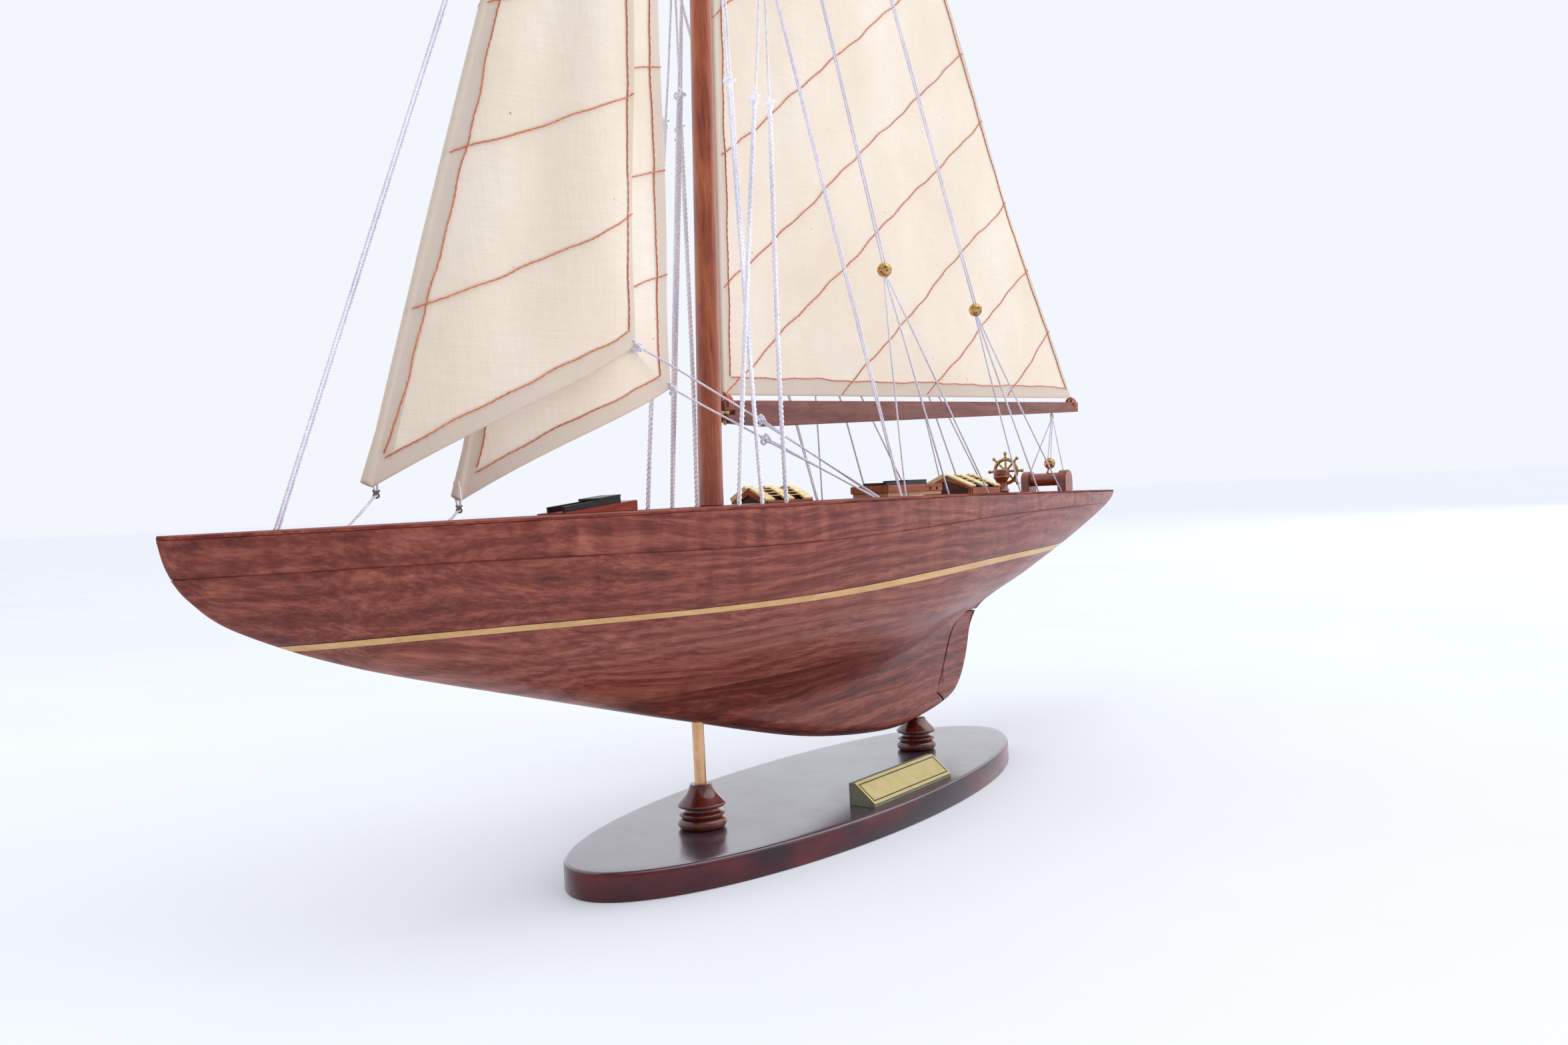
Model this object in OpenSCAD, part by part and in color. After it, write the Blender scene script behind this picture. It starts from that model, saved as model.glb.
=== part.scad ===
// Display model of a classic racing yacht: laminated hull on a stand, deck fittings, spars, sails and rig.
// The origin is the middle of the base board's underside, +X points to the bow, +Y to port and +Z up.

/* [Hull] */
// Half-breadth of the deck at its widest station
half_beam = 46.5; // [44:0.5:49]
// Height of the deck edge above the table
sheer_z = 128; // [127:0.5:129]
// Height of the inlaid stripe at the bow
stripe_z = 96.9; // [96:0.1:99]
// Width of the inlaid stripe
stripe_w = 2.8; // [2:0.2:3.6]
// Distance from the stripe up to the seam below the sheer lift
seam_rise = 20.5; // [17:0.2:22]
// Half thickness of the fin keel at its thickest
fin_half = 6.8; // [6:0.2:7.4]
// Thickness of the deck panel
deck_t = 0.8; // [0.6:0.1:1.2]

/* [Rudder] */
// Gap between the rudder and the keel
rudder_gap = 0.7; // [0.4:0.1:1]
// Diameter of the pin that the rudder turns on
rudder_pin_d = 1.6; // [1.2:0.1:1.8]

/* [Stand] */
// Length of the oval base board
base_l = 282; // [270:1:300]
// Width of the oval base board
base_w = 99; // [94:1:106]
// Thickness of the base board
base_t = 10; // [9.5:0.1:10]
// Distance between the two turned posts
post_pitch = 156; // [152:1:160]
// Height of a whole turned post
post_h = 16.2; // [15.8:0.1:16.6]
// Diameter of the brass support rods
rod_d = 4.4; // [4:0.1:4.6]
// Length of the nameplate block
plate_l = 60; // [50:1:64]

/* [Spars] */
// Diameter of the mast at the deck
mast_d = 9.4; // [9:0.1:9.8]
// Diameter of the mast at its top
mast_top_d = 5.4; // [5:0.1:6]
// Height of the mast's top above the table
mast_top_z = 688; // [680:1:700]
// Thickness of the boom
boom_t = 4.4; // [4:0.1:5]
// Diameter of the gooseneck pin
gooseneck_d = 1.4; // [1.2:0.1:1.6]

/* [Sails] */
// Thickness of the sailcloth with its hems
cloth_t = 1; // [0.8:0.1:1.2]
// Depth of the curve in the jib
jib_belly = 9; // [4:0.5:10]
// Depth of the curve in the staysail
staysail_belly = 6; // [3:0.5:7]

/* [Rigging] */
// Diameter of a doubled shroud
shroud_d = 1.8; // [1.4:0.1:2]
// Diameter of a single line
line_d = 1; // [0.8:0.1:1.2]
// Distance of the shroud feet from the centre line
foot_y = 22; // [21.5:0.5:23]
// Diameter of the brass runner blocks
block_d = 6.4; // [6:0.2:7]

/* [Deck fittings] */
// Radius of the ship's wheel to the tips of its handles
wheel_tip_r = 10.3; // [9:0.1:10.4]
// Number of spokes
wheel_spokes = 8; // [6:1:10]
// Diameter of the mainsheet horse's bar
horse_bar_d = 7.2; // [6:0.2:7.6]
// Travel space of the sliding hatch lids beyond their length
lid_gap = 0.3; // [0.2:0.05:0.4]

/* [Hidden] */

mahogany = "#8a4430";
dark_wood = "#3a1a18";
red_wood = "#7a2c1a";
brass = "#c9a24a";
pale_wood = "#e6d490";
sailcloth = "#e9e0cb";
cordage = "#cfcdda";
black = "#1c1a1c";

// ---- hull form ----
// Outline of hull and keel on the centre plane, from the stem to the stern tip, as [x, z]
KEEL_PTS = [
    [276.8, 126.6], [274.9, 119.5], [269.5, 111.5], [255.9, 101.8], [219.8, 87.7], [151.3, 68.4],
    [84.3, 50.2], [13.3, 32.2], [-45, 24.1], [-78.7, 25.2], [-106.5, 29.2], [-118.4, 34.8], [-127.3, 46.2],
    [-132.1, 58.6], [-135.2, 69.2], [-144.8, 76.7], [-162.2, 81.1], [-209, 92], [-261, 105.3], [-321.8, 121.9]
];
// Bottom of the canoe body, which leaves the outline where the fin keel grows out of it
CANOE_PTS = [
    [276.8, 126.6], [274.9, 119.5], [269.5, 111.5], [255.9, 101.8], [219.8, 87.7], [151.3, 69.2],
    [100, 62.5], [50, 58.5], [0, 58], [-50, 62], [-100, 71.5], [-130, 75.5], [-162.2, 81.1], [-209, 92],
    [-261, 105.3], [-321.8, 121.9]
];
// Half thickness of the fin along the hull, as [x, part of fin_half]
FIN_PTS = [
    [277, 0.16], [220, 0.24], [150, 0.45], [80, 0.8], [0, 1], [-60, 0.98], [-90, 0.72], [-105, 0.54],
    [-120, 0.35], [-134, 0.2], [-160, 0.18], [-322, 0.15]
];
bow_x = 276.8;
stern_x = -321.8;
widest_x = -12;
section_rows = 12;
band_rows = 3;
edge_half = 0.4;

function spline(a, b, c, d, t) =
    0.5 * (2 * b + (c - a) * t + (2 * a - 5 * b + 4 * c - d) * t * t + (3 * b - a - 3 * c + d) * t * t * t);
function curve(p, n) = concat(
    [
        for (i = [0 : len(p) - 2])
            for (k = [0 : n - 1])
                spline(p[max(i - 1, 0)], p[i], p[i + 1], p[min(i + 2, len(p) - 1)], k / n)
    ],
    [p[len(p) - 1]]
);
function ramp(x, a, b) = min(max((x - a) / (b - a), 0), 1);
function mix(a, b, t) = a + (b - a) * t;

KEEL = curve(KEEL_PTS, 8);
CANOE = curve(CANOE_PTS, 8);
FIN = curve(FIN_PTS, 4);
function keel_z(x) = lookup(x, KEEL);
function canoe_z(x) = max(keel_z(x), lookup(x, CANOE));
function sheer_at(x) = sheer_z - 3.1 * ramp(x, -60, stern_x);
function deck_edge(x) =
    x > widest_x
        ? half_beam * pow(1 - pow(ramp(x, widest_x, bow_x), 2), 0.8)
        : half_beam * pow(1 - pow(ramp(x, widest_x, stern_x), 2), 0.62)
            * pow(ramp(x, stern_x, stern_x + 40), 0.15);
function stripe_mid(x) = stripe_z + ramp(x, 242, -232) - 4 * exp(-pow((x - 60) / 120, 2));
// The stripe narrows towards the bow
function stripe_half(x) = stripe_w / 2 * mix(1, 0.62, ramp(x, -20, 120));
function stripe_low(x) = stripe_mid(x) - stripe_half(x);
function stripe_high(x) = stripe_mid(x) + stripe_half(x);
function seam_at(x) = stripe_mid(x) + seam_rise;
function lift_top(x) = sheer_at(x) - deck_t;
// Half-breadth of the hull at a station and height: a canoe body that sweeps down into a fin
function half_breadth(x, z) =
    let (
        full = 1 - pow(abs(x - widest_x) / 320, 2),
        low = canoe_z(x),
        soft = 0.055,
        u = (z - low) / (sheer_at(x) - low),
        us = min(soft * ln(1 + exp(u / soft)), 1),
        body = deck_edge(x) * pow(1 - pow(1 - us, mix(1.7, 2.15, full)), 1 / mix(1.4, 2, full)),
        fin = fin_half * lookup(x, FIN),
        v = ramp(z, keel_z(x), keel_z(x) + 5)
    )
    max(edge_half, pow(pow(body, 2.2) + pow(fin, 2.2), 1 / 2.2) * sqrt(1 - pow(1 - v, 2)));

// Station where the outline crosses a level, between a and b
function crossing(level, a, b, n = 30) =
    n == 0
        ? (a + b) / 2
        : let (m = (a + b) / 2)
          ((keel_z(a) - level(a) + 0.3) * (keel_z(m) - level(m) + 0.3) <= 0)
              ? crossing(level, a, m, n - 1)
              : crossing(level, m, b, n - 1);
function ordered(v) =
    len(v) < 2
        ? v
        : let (p = v[floor(len(v) / 2)])
          concat(ordered([for (a = v) if (a > p + 0.4) a]), [p], ordered([for (a = v) if (a < p - 0.4) a]));
LEVELS = [function(x) stripe_low(x), function(x) stripe_high(x), function(x) seam_at(x)];
CROSSINGS = concat(
    [for (f = LEVELS) crossing(f, 150, bow_x)],
    [for (f = LEVELS) crossing(f, -150, stern_x)]
);
STATIONS = ordered(concat([for (p = curve(KEEL_PTS, 3)) p[0]], CROSSINGS));

// A closed solid from rings of equal size, one ring a station. The second half of each ring runs back
// beside the first half, so each end is closed with a strip between them.
module lofted(rings) {
    n = len(rings[0]);
    m = len(rings);
    sides = [
        for (i = [0 : m - 2])
            for (k = [0 : n - 1])
                let (a = i * n + k, b = i * n + (k + 1) % n)
                for (t = [[a, b, b + n], [a, b + n, a + n]]) t
    ];
    caps = [
        for (k = [0 : n / 2 - 2])
            let (a = k, b = k + 1, c = n - 2 - k, d = n - 1 - k, e = (m - 1) * n)
            for (t = [[a, c, b], [a, d, c], [a + e, b + e, c + e], [a + e, c + e, d + e]]) t
    ];
    polyhedron([for (r = rings) each r], concat(sides, caps), convexity = 8);
}

// A band of the hull between two levels, with rows drawn closer together towards its bottom
function band_ring(x, low, high, rows, power) =
    let (side = [for (j = [0 : rows]) let (z = mix(low, high, pow(j / rows, power))) [half_breadth(x, z), z]])
    concat(
        [for (p = side) [x, p[0], p[1]]],
        [for (j = [rows : -1 : 0]) [x, -side[j][0], side[j][1]]]
    );
module hull_band(low, high, rows, power = 1) {
    xs = [for (x = STATIONS) if (high(x) - keel_z(x) > 0.25) x];
    lofted([for (x = xs) band_ring(x, max(keel_z(x), low(x)), high(x), rows, power)]);
}

// ---- rudder ----
rudder_heel = [-95, 33];
rudder_head = [-119, 70.2];
rudder_axis = rudder_head - rudder_heel;
rudder_len = norm(rudder_axis);
rudder_tilt = atan2(rudder_axis[0], rudder_axis[1]);
rudder_top_z = 69.4;
rudder_top_gap = 1;
rudder_max_half = 4.2;
// Nose of the rudder round its pin, as [radius, distance along the pin]
NOSE = [[5.5, 0], [5, 11], [4.7, 18], [4.5, 25], [4.4, 31], [4.3, 50]];
module on_rudder_axis() {
    translate([rudder_heel[0], 0, rudder_heel[1]])
        rotate([0, rudder_tilt, 0])
            children();
}
// Everything that the rudder may fill, grown by g
module rudder_space(g, top) {
    aft = [-cos(rudder_tilt), sin(rudder_tilt)];
    heel = rudder_heel - g * rudder_axis / rudder_len;
    head = rudder_heel + (rudder_len + 6) * rudder_axis / rudder_len;
    intersection() {
        union() {
            on_rudder_axis()
                translate([0, 0, -g])
                    rotate_extrude($fn = 64)
                        polygon(concat(
                            [[0, 0]],
                            [for (p = NOSE) [p[0] + g, p[1] + (p[1] == 0 ? 0 : g)]],
                            [[0, 50 + g]]
                        ));
            rotate([90, 0, 0])
                translate([0, 0, -20])
                    linear_extrude(40)
                        polygon([heel, heel + 18 * aft, [-170, 10], [-170, 90], head]);
        }
        translate([-180, -30, 0])
            cube([110, 60, top]);
    }
}

// ---- deck datum ----
camber = 0.3;
// Glue line under a fitting, which also clears the curve of the deck or keel below it
seat_gap = 0.1;
function deck_z(x) = sheer_at(x) + camber;
module on_deck(x) {
    translate([x, 0, deck_z(x)])
        children();
}

// ---- spars ----
mast_x = 64;
mast_foot_z = sheer_z + camber;
mast_rake = 0.0428;
mast_tilt = atan(mast_rake);
mast_len = (mast_top_z - mast_foot_z) / cos(mast_tilt);
function mast_at(z) = mast_x - mast_rake * (z - mast_foot_z);
function mast_r(z) = mix(mast_d, mast_top_d, ramp(z, mast_foot_z, mast_top_z)) / 2;
boom_pivot = [53, 163.7];
lower_spreader_z = 338;
upper_spreader_z = 505;
LOWER_TIP = [44, 22, 334];
UPPER_TIP = [38.5, 17, 501];
tip_clear = 1.4;

// ---- lines ----
module line(a, b, d) {
    v = b - a;
    translate(a)
        rotate([0, acos(v[2] / norm(v)), atan2(v[1], v[0])])
            cylinder(h = norm(v), d = d, $fn = 16);
}
// A line that runs side by side with its twin
module pair(a, b, d, gap) {
    for (s = [-1, 1])
        line(a + [s * gap / 2, 0, 0], b + [s * gap / 2, 0, 0], d);
}
function side_of(p, s) = [p[0], s * p[1], p[2]];
function foot(x, y = foot_y) = [x, y, deck_z(x) + 0.45];
function at_mast(z, d) = [mast_at(z), mast_r(z) + d / 2 + 0.2, z];
SHROUD_FEET = [75, 61, 46];
LEG_FOOT = -38;
INNER_KNOT = [55.9, 12.2, 287];
INNER_TOPS = [400, 460];
RUNNER_A = [-36, 20, 225.5];
RUNNER_B = [-118, 20, 215.6];
RUNNER_A_TOP = 520;
RUNNER_B_TOP = 600;
RUNNER_A_FEET = [-42, -80, -119];
RUNNER_B_FEET = [-154, -175, -203];

module shrouds(s) {
    gap = 2.2;
    feet = [SHROUD_FEET[0], SHROUD_FEET[2], LEG_FOOT];
    for (i = [0 : 2])
        line(side_of(foot(feet[i]), s), side_of(LOWER_TIP + [gap * (1 - i), 0, -1.5], s), shroud_d);
    line(side_of(foot(SHROUD_FEET[1]), s), side_of(INNER_KNOT, s), shroud_d);
    for (i = [0, 1])
        line(
            side_of(INNER_KNOT + [0.8 - 1.6 * i, 0, 1.2], s),
            side_of(at_mast(INNER_TOPS[i], line_d), s),
            line_d
        );
    line(side_of(LOWER_TIP + [0, 0, 1.5], s), side_of(UPPER_TIP + [0, 0, -1.2], s), line_d);
    line(side_of(UPPER_TIP + [0, 0, 1.2], s), side_of(at_mast(mast_top_z - 14, line_d), s), line_d);
}

module runners(s) {
    gap = 1.4;
    drop = block_d / 2 + 0.2;
    for (r = [[RUNNER_A, RUNNER_A_TOP, RUNNER_A_FEET], [RUNNER_B, RUNNER_B_TOP, RUNNER_B_FEET]]) {
        pair(side_of(r[0] + [0, 0, drop], s), side_of(at_mast(r[1], line_d), s), line_d * 0.8, gap);
        for (x = r[2])
            line(side_of(r[0] - [0, 0, drop], s), side_of(foot(x), s), line_d);
    }
}

// ---- sails ----
// A headsail whose luff curves forward and whose leech is nearly straight; its belly curves out to port
// and its foot is arched
luff_bow = 3;
foot_round = 2.3;
function sail_point(tack, head, clew, belly, leech_round, u, v) =
    let (
        bow = 4 * v * (1 - v),
        luff = mix(tack, head, v) + [luff_bow * bow, 0, 0],
        leech = mix(clew, head, v) + [leech_round * bow, 0, 0],
        p = mix(luff, leech, u)
    )
    p + [0, belly * 4 * u * (1 - u) * (1 - v), foot_round * 6.75 * u * pow(1 - u, 2) * pow(1 - v, 4)];
head_part = 0.97;
module headsail(tack, head, clew, belly, leech_round) {
    nu = 8;
    nv = 10;
    lofted([
        for (j = [0 : nv])
            let (
                v = head_part * j / nv,
                row = [for (i = [0 : nu]) sail_point(tack, head, clew, belly, leech_round, i / nu, v)]
            )
            concat(
                [for (i = [nu : -1 : 0]) row[i] + [0, cloth_t / 2, 0]],
                [for (p = row) p - [0, cloth_t / 2, 0]]
            )
    ]);
}
JIB_TACK = [218, 0, 137];
JIB_HEAD = [84.5, 0, 500];
JIB_CLEW = [113.7, 11, 184.2];
JIB_DECK_X = 222.5;
JIB_LEECH_ROUND = -1;
STAYSAIL_TACK = [186.4, 0, 132.3];
STAYSAIL_HEAD = [71, 0, 478];
STAYSAIL_CLEW = [92, 7, 171];
STAYSAIL_LEECH_ROUND = 1.5;
STAYSAIL_DECK_X = 187.5;
FORESTAY_DECK_X = 244.5;
FORESTAY_TOP = 597;
JIB_STAY_TOP = 560;
STAYSAIL_STAY_TOP = 530;
// Corners of the mainsail on the centre plane, with the roach along its leech, as [x, z]
MAIN_TACK = [54.5, 170.4];
MAIN_HEAD = [38.2, 646];
MAIN_CLEW = [-271.5, 180];
ROACH = [[-245, 213], [-199, 281.4], [-155.2, 350], [-107, 424], [-59, 500], [-10, 580]];

// ---- skylights ----
fore_sky = [41, 9, 17, 5.8, 0.6];
aft_sky = [-118, -150, 27, 9, 3];
strip_w = 6;
strip_t = 0.9;
ridge_w = 1.6;

// ---- stand ----
module oval(grow) {
    polygon([for (k = [0 : 95]) let (a = k * 3.75) [(base_l / 2 + grow) * cos(a), (base_w / 2 + grow) * sin(a)]]);
}
module base_board() {
    round_h = 1.8;
    color(dark_wood) {
        linear_extrude(base_t - round_h)
            oval(0);
        hull() {
            translate([0, 0, base_t - round_h])
                linear_extrude(0.1)
                    oval(0);
            translate([0, 0, base_t - 0.7])
                linear_extrude(0.1)
                    oval(-0.5);
            translate([0, 0, base_t - 0.1])
                linear_extrude(0.1)
                    oval(-1.8);
        }
    }
}

function arc(cx, cy, r, a, b, n = 8) = [for (k = [0 : n]) let (t = mix(a, b, k / n)) [cx + r * cos(t), cy + r * sin(t)]];
POST_PROFILE = concat(
    [[0, 0], [7.4, 0]],
    arc(7, 2.1, 2.1, -80, 80),
    [[6.9, 4.3], [8.2, 4.8], [8.6, 5.4], [8.1, 6], [6.7, 6.4], [6.4, 7.3], [6.8, 7.9]],
    arc(8.2, 8.9, 0.8, -80, 50, 5),
    arc(13.4, 18.4, 9.6, 228, 184, 7),
    [[3.6, post_h], [0, post_h]]
);
module turned_post(x, top) {
    color(red_wood)
        translate([x, 0, base_t])
            difference() {
                intersection() {
                    rotate_extrude($fn = 64)
                        polygon(POST_PROFILE);
                    cylinder(h = top, r = 20, $fn = 32);
                }
                translate([0, 0, -1])
                    cylinder(h = post_h + 2, d = rod_d + 0.1, $fn = 48);
            }
}
module fore_post() {
    turned_post(post_pitch / 2, post_h);
}
module aft_post() {
    turned_post(-post_pitch / 2, keel_z(-post_pitch / 2) - base_t - 6 * seat_gap);
}
module support_rod(x, top) {
    color(brass)
        translate([x, 0, base_t])
            cylinder(h = top - base_t, d = rod_d, $fn = 48);
}
module fore_rod() {
    support_rod(post_pitch / 2, keel_z(post_pitch / 2) + 14);
}
module aft_rod() {
    support_rod(-post_pitch / 2, keel_z(-post_pitch / 2) + 18);
}

PLATE_SECTION = [[31.5, 0], [43, 0], [43, 0.8], [33.6, 8.6], [31.5, 8.6]];
module nameplate_block() {
    color(black)
        translate([-3 - plate_l / 2, 0, base_t])
            rotate([90, 0, 90])
                linear_extrude(plate_l)
                    polygon(PLATE_SECTION);
}
module nameplate_plate() {
    run = PLATE_SECTION[3] - PLATE_SECTION[2];
    out = [-run[1], run[0]] / -norm(run);
    a = PLATE_SECTION[2] + 0.02 * run;
    b = PLATE_SECTION[3] - 0.02 * run;
    color(brass)
        translate([-3 - plate_l / 2, 0, base_t])
            rotate([90, 0, 90])
                linear_extrude(plate_l)
                    polygon([a, a + 0.6 * out, b + 0.6 * out, b]);
}

// ---- hull nodes ----
module hull_bottom() {
    hull_band(function(x) keel_z(x), function(x) stripe_low(x), section_rows, 1.6);
}
module keel_lift() {
    color(mahogany)
        difference() {
            hull_bottom();
            rudder_space(rudder_gap, rudder_top_z + rudder_top_gap);
        }
}
module rudder() {
    color(mahogany)
        difference() {
            intersection() {
                hull_bottom();
                rudder_space(0, rudder_top_z);
                translate([-180, -rudder_max_half, 0])
                    cube([110, 2 * rudder_max_half, 80]);
            }
            on_rudder_axis()
                translate([0, 0, -5])
                    cylinder(h = rudder_len + 15, d = rudder_pin_d + 0.1, $fn = 32);
        }
}
module rudder_pin() {
    color(brass)
        on_rudder_axis()
            translate([0, 0, -6])
                cylinder(h = rudder_len + 11, d = rudder_pin_d, $fn = 32);
}
module waterline_stripe() {
    color(pale_wood)
        hull_band(function(x) stripe_low(x), function(x) stripe_high(x), 1);
}
module topside_lift() {
    color(mahogany)
        hull_band(function(x) stripe_high(x), function(x) seam_at(x), band_rows);
}
module sheer_lift() {
    color(mahogany)
        hull_band(function(x) seam_at(x), function(x) lift_top(x), band_rows);
}
module deck() {
    color(mahogany)
        lofted([
            for (x = STATIONS)
                let (y = half_breadth(x, lift_top(x)), z = lift_top(x))
                concat(
                    [[x, y, z], [x, y, z + deck_t], [x, y / 4, z + deck_t + camber]],
                    [[x, -y / 4, z + deck_t + camber], [x, -y, z + deck_t], [x, -y, z]]
                )
        ]);
}

// ---- spar nodes ----
module mast() {
    tenon = 14;
    color(red_wood)
        translate([mast_x, 0, mast_foot_z])
            rotate([0, -mast_tilt, 0]) {
                cylinder(h = mast_len, d1 = mast_d, d2 = mast_top_d, $fn = 64);
                translate([0, 0, -tenon])
                    cylinder(h = tenon, d = 5, $fn = 48);
            }
}
module mast_cap() {
    color(brass)
        translate([mast_at(mast_top_z), 0, mast_top_z])
            rotate([0, -mast_tilt, 0])
                rotate_extrude($fn = 48)
                    polygon(concat([[0, 0]], arc(2.4, 1, 1, -90, 90), arc(0, 0.6, 2.2, 50, 90, 5)));
}
module spreader_pair(z, tip) {
    r = mast_r(z);
    x = mast_at(z);
    for (s = [-1, 1])
        translate([x, s * (r - 0.1), z])
            rotate([0, 0, s * atan2(tip[1] - r, tip[0] - x)])
                rotate([0, 90, 0])
                    cylinder(h = norm([tip[1] - r, tip[0] - x]) - tip_clear, d1 = 3, d2 = 1.8, $fn = 32);
}
module lower_spreaders() {
    color(red_wood)
        spreader_pair(lower_spreader_z - 4, LOWER_TIP);
}
module upper_spreaders() {
    color(red_wood)
        spreader_pair(upper_spreader_z - 4, UPPER_TIP);
}

boom_slot_h = 1.8;
module boom() {
    color(red_wood)
        difference() {
            rotate([90, 0, 0])
                translate([0, 0, -boom_t / 2])
                    linear_extrude(boom_t)
                        polygon(concat(
                            [[-276, 177.6], [-276, 172.1], [26.8, 158.9]],
                            arc(50.2, 165, 5.4, -100, -20, 6),
                            [[55.9, 168.2]]
                        ));
            translate([49.5, -5, boom_pivot[1] - boom_slot_h / 2])
                cube([10, 10, boom_slot_h]);
            gooseneck_pin_bore();
        }
}
module on_boom_pivot() {
    translate([boom_pivot[0], 0, boom_pivot[1]])
        rotate([0, -mast_tilt, 0])
            children();
}
module gooseneck_pin_bore() {
    on_boom_pivot()
        translate([0, 0, -8])
            cylinder(h = 16, d = gooseneck_d, $fn = 32);
}
module gooseneck_eye() {
    t = 1.2;
    color(brass)
        difference() {
            on_boom_pivot()
                translate([0, 0, -t / 2]) {
                    cylinder(h = t, r = 1.8, $fn = 48);
                    translate([0, -0.9, 0])
                        cube([mast_at(boom_pivot[1]) - mast_r(boom_pivot[1]) - boom_pivot[0] + 0.05, 1.8, t]);
                }
            on_boom_pivot()
                translate([0, 0, -3])
                    cylinder(h = 6, d = gooseneck_d + 0.1, $fn = 32);
        }
}
module gooseneck_pin() {
    color(brass)
        on_boom_pivot()
            translate([0, 0, -4.6])
                cylinder(h = 9, d = gooseneck_d, $fn = 32);
}
boom_eye_x = -244;
boom_eye_z = 168.8;
module boom_eye() {
    color(brass) {
        translate([boom_eye_x, 0, boom_eye_z])
            rotate([90, 0, 0])
                rotate_extrude($fn = 48)
                    translate([1.4, 0])
                        circle(r = 0.4, $fn = 24);
        translate([boom_eye_x, 0, boom_eye_z + 1.2])
            cylinder(h = 0.7, r = 0.4, $fn = 24);
    }
}

// ---- sail nodes ----
module mainsail() {
    color(sailcloth)
        rotate([90, 0, 0])
            translate([0, 0, -cloth_t / 2])
                linear_extrude(cloth_t)
                    polygon(concat([MAIN_TACK, MAIN_HEAD, [MAIN_HEAD[0] - 4, MAIN_HEAD[1]]],
                        [for (k = [len(ROACH) - 1 : -1 : 0]) ROACH[k]], [MAIN_CLEW]));
}
module jib() {
    color(sailcloth)
        headsail(JIB_TACK, JIB_HEAD, JIB_CLEW, jib_belly, JIB_LEECH_ROUND);
}
module staysail() {
    color(sailcloth)
        headsail(STAYSAIL_TACK, STAYSAIL_HEAD, STAYSAIL_CLEW, staysail_belly, STAYSAIL_LEECH_ROUND);
}

// ---- rigging nodes ----
function ahead_of_mast(z) = [mast_at(z) + mast_r(z) + 0.9, 0, z];
module forestay() {
    color(cordage)
        pair(foot(FORESTAY_DECK_X, 0), ahead_of_mast(FORESTAY_TOP), line_d, 1.1);
}
// The cords that hold a headsail: from the deck to its tack and from its head to the mast
module sail_stay(deck_x, tack, head, clew, z) {
    cloth_top = mix(mix(tack, head, head_part), mix(clew, head, head_part), 0.5);
    color(cordage) {
        line(foot(deck_x, 0), tack + [0, 0, -0.9], line_d);
        line(cloth_top + [0, 0, 1.2], ahead_of_mast(z), line_d);
    }
}
module jib_stay() {
    sail_stay(JIB_DECK_X, JIB_TACK, JIB_HEAD, JIB_CLEW, JIB_STAY_TOP);
}
module staysail_stay() {
    sail_stay(STAYSAIL_DECK_X, STAYSAIL_TACK, STAYSAIL_HEAD, STAYSAIL_CLEW, STAYSAIL_STAY_TOP);
}
module shrouds_port() {
    color(cordage)
        shrouds(1);
}
module shrouds_starboard() {
    color(cordage)
        shrouds(-1);
}
module runners_port() {
    color(cordage)
        runners(1);
}
module runners_starboard() {
    color(cordage)
        runners(-1);
}
module runner_blocks() {
    color(brass)
        for (p = [RUNNER_A, RUNNER_B])
            for (s = [-1, 1])
                translate(side_of(p, s))
                    sphere(d = block_d, $fn = 32);
}
JIB_SHEET_FOOT = [-13, 26, 128.9];
STAYSAIL_SHEET_FOOT = [-15, 23, 128.9];
JIB_SHEET_KNOT = [54.6, 18, 159.6];
STAYSAIL_SHEET_KNOT = [47, 14.3, 152.8];
module jib_sheet() {
    color(cordage) {
        line(JIB_CLEW + [-1.2, 0.4, -1], JIB_SHEET_KNOT, line_d);
        line(JIB_SHEET_KNOT, JIB_SHEET_FOOT, line_d * 1.4);
    }
}
module staysail_sheet() {
    color(cordage) {
        line(STAYSAIL_CLEW + [-1.2, 0.4, -1], STAYSAIL_SHEET_KNOT, line_d);
        line(STAYSAIL_SHEET_KNOT, STAYSAIL_SHEET_FOOT, line_d * 1.4);
    }
}
BALL = [-236, 1, 142];
module mainsheet() {
    top = [boom_eye_x, 0, boom_eye_z - 2.4];
    color(cordage) {
        for (s = [-1, 1])
            line(top + [0, 0.6 * s, 0], BALL + [0, 0.9 * s, block_d / 2], line_d * 0.8);
        line(top + [-0.8, -1.2, 0], foot(-241, -19), line_d);
        line(top + [-0.8, 1.2, 0], foot(-243, 8), line_d);
    }
}

// ---- fore hatch ----
ramp_fore = 146;
ramp_aft = 112;
ramp_low = 0.4;
ramp_high = 3.62;
ramp_half = 7;
ramp_slope = atan((ramp_high - ramp_low) / (ramp_fore - ramp_aft));
module fore_hatch_ramp() {
    color(red_wood)
        translate([0, ramp_half, deck_z(ramp_aft)])
            rotate([90, 0, 0])
                linear_extrude(2 * ramp_half)
                    polygon([[ramp_aft, 0], [ramp_fore, 0], [ramp_fore, ramp_low], [ramp_aft, ramp_high]]);
}
// Local frame on the ramp: x runs up the slope from its low end
module on_ramp() {
    translate([ramp_fore, 0, deck_z(ramp_aft) + ramp_low])
        rotate([0, ramp_slope, 0])
            mirror([1, 0, 0])
                children();
}
rail_y = 3.5;
rail_w = 1.3;
rail_h = 1.9;
lid_l = 11;
module fore_hatch_rails() {
    color(black)
        on_ramp()
            for (s = [-1, 1])
                translate([2, s * rail_y - rail_w / 2, 0])
                    cube([27, rail_w, rail_h]);
}
module fore_hatch_lid() {
    color(black)
        on_ramp()
            translate([17.5, 0, 0]) {
                translate([0, -rail_y - 1.4, rail_h])
                    cube([lid_l, 2 * rail_y + 2.8, 0.8]);
                translate([1, -rail_y + rail_w / 2 + lid_gap, rail_h - 1.2])
                    cube([lid_l - 2, 2 * rail_y - rail_w - 2 * lid_gap, 1.2]);
            }
}

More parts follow.
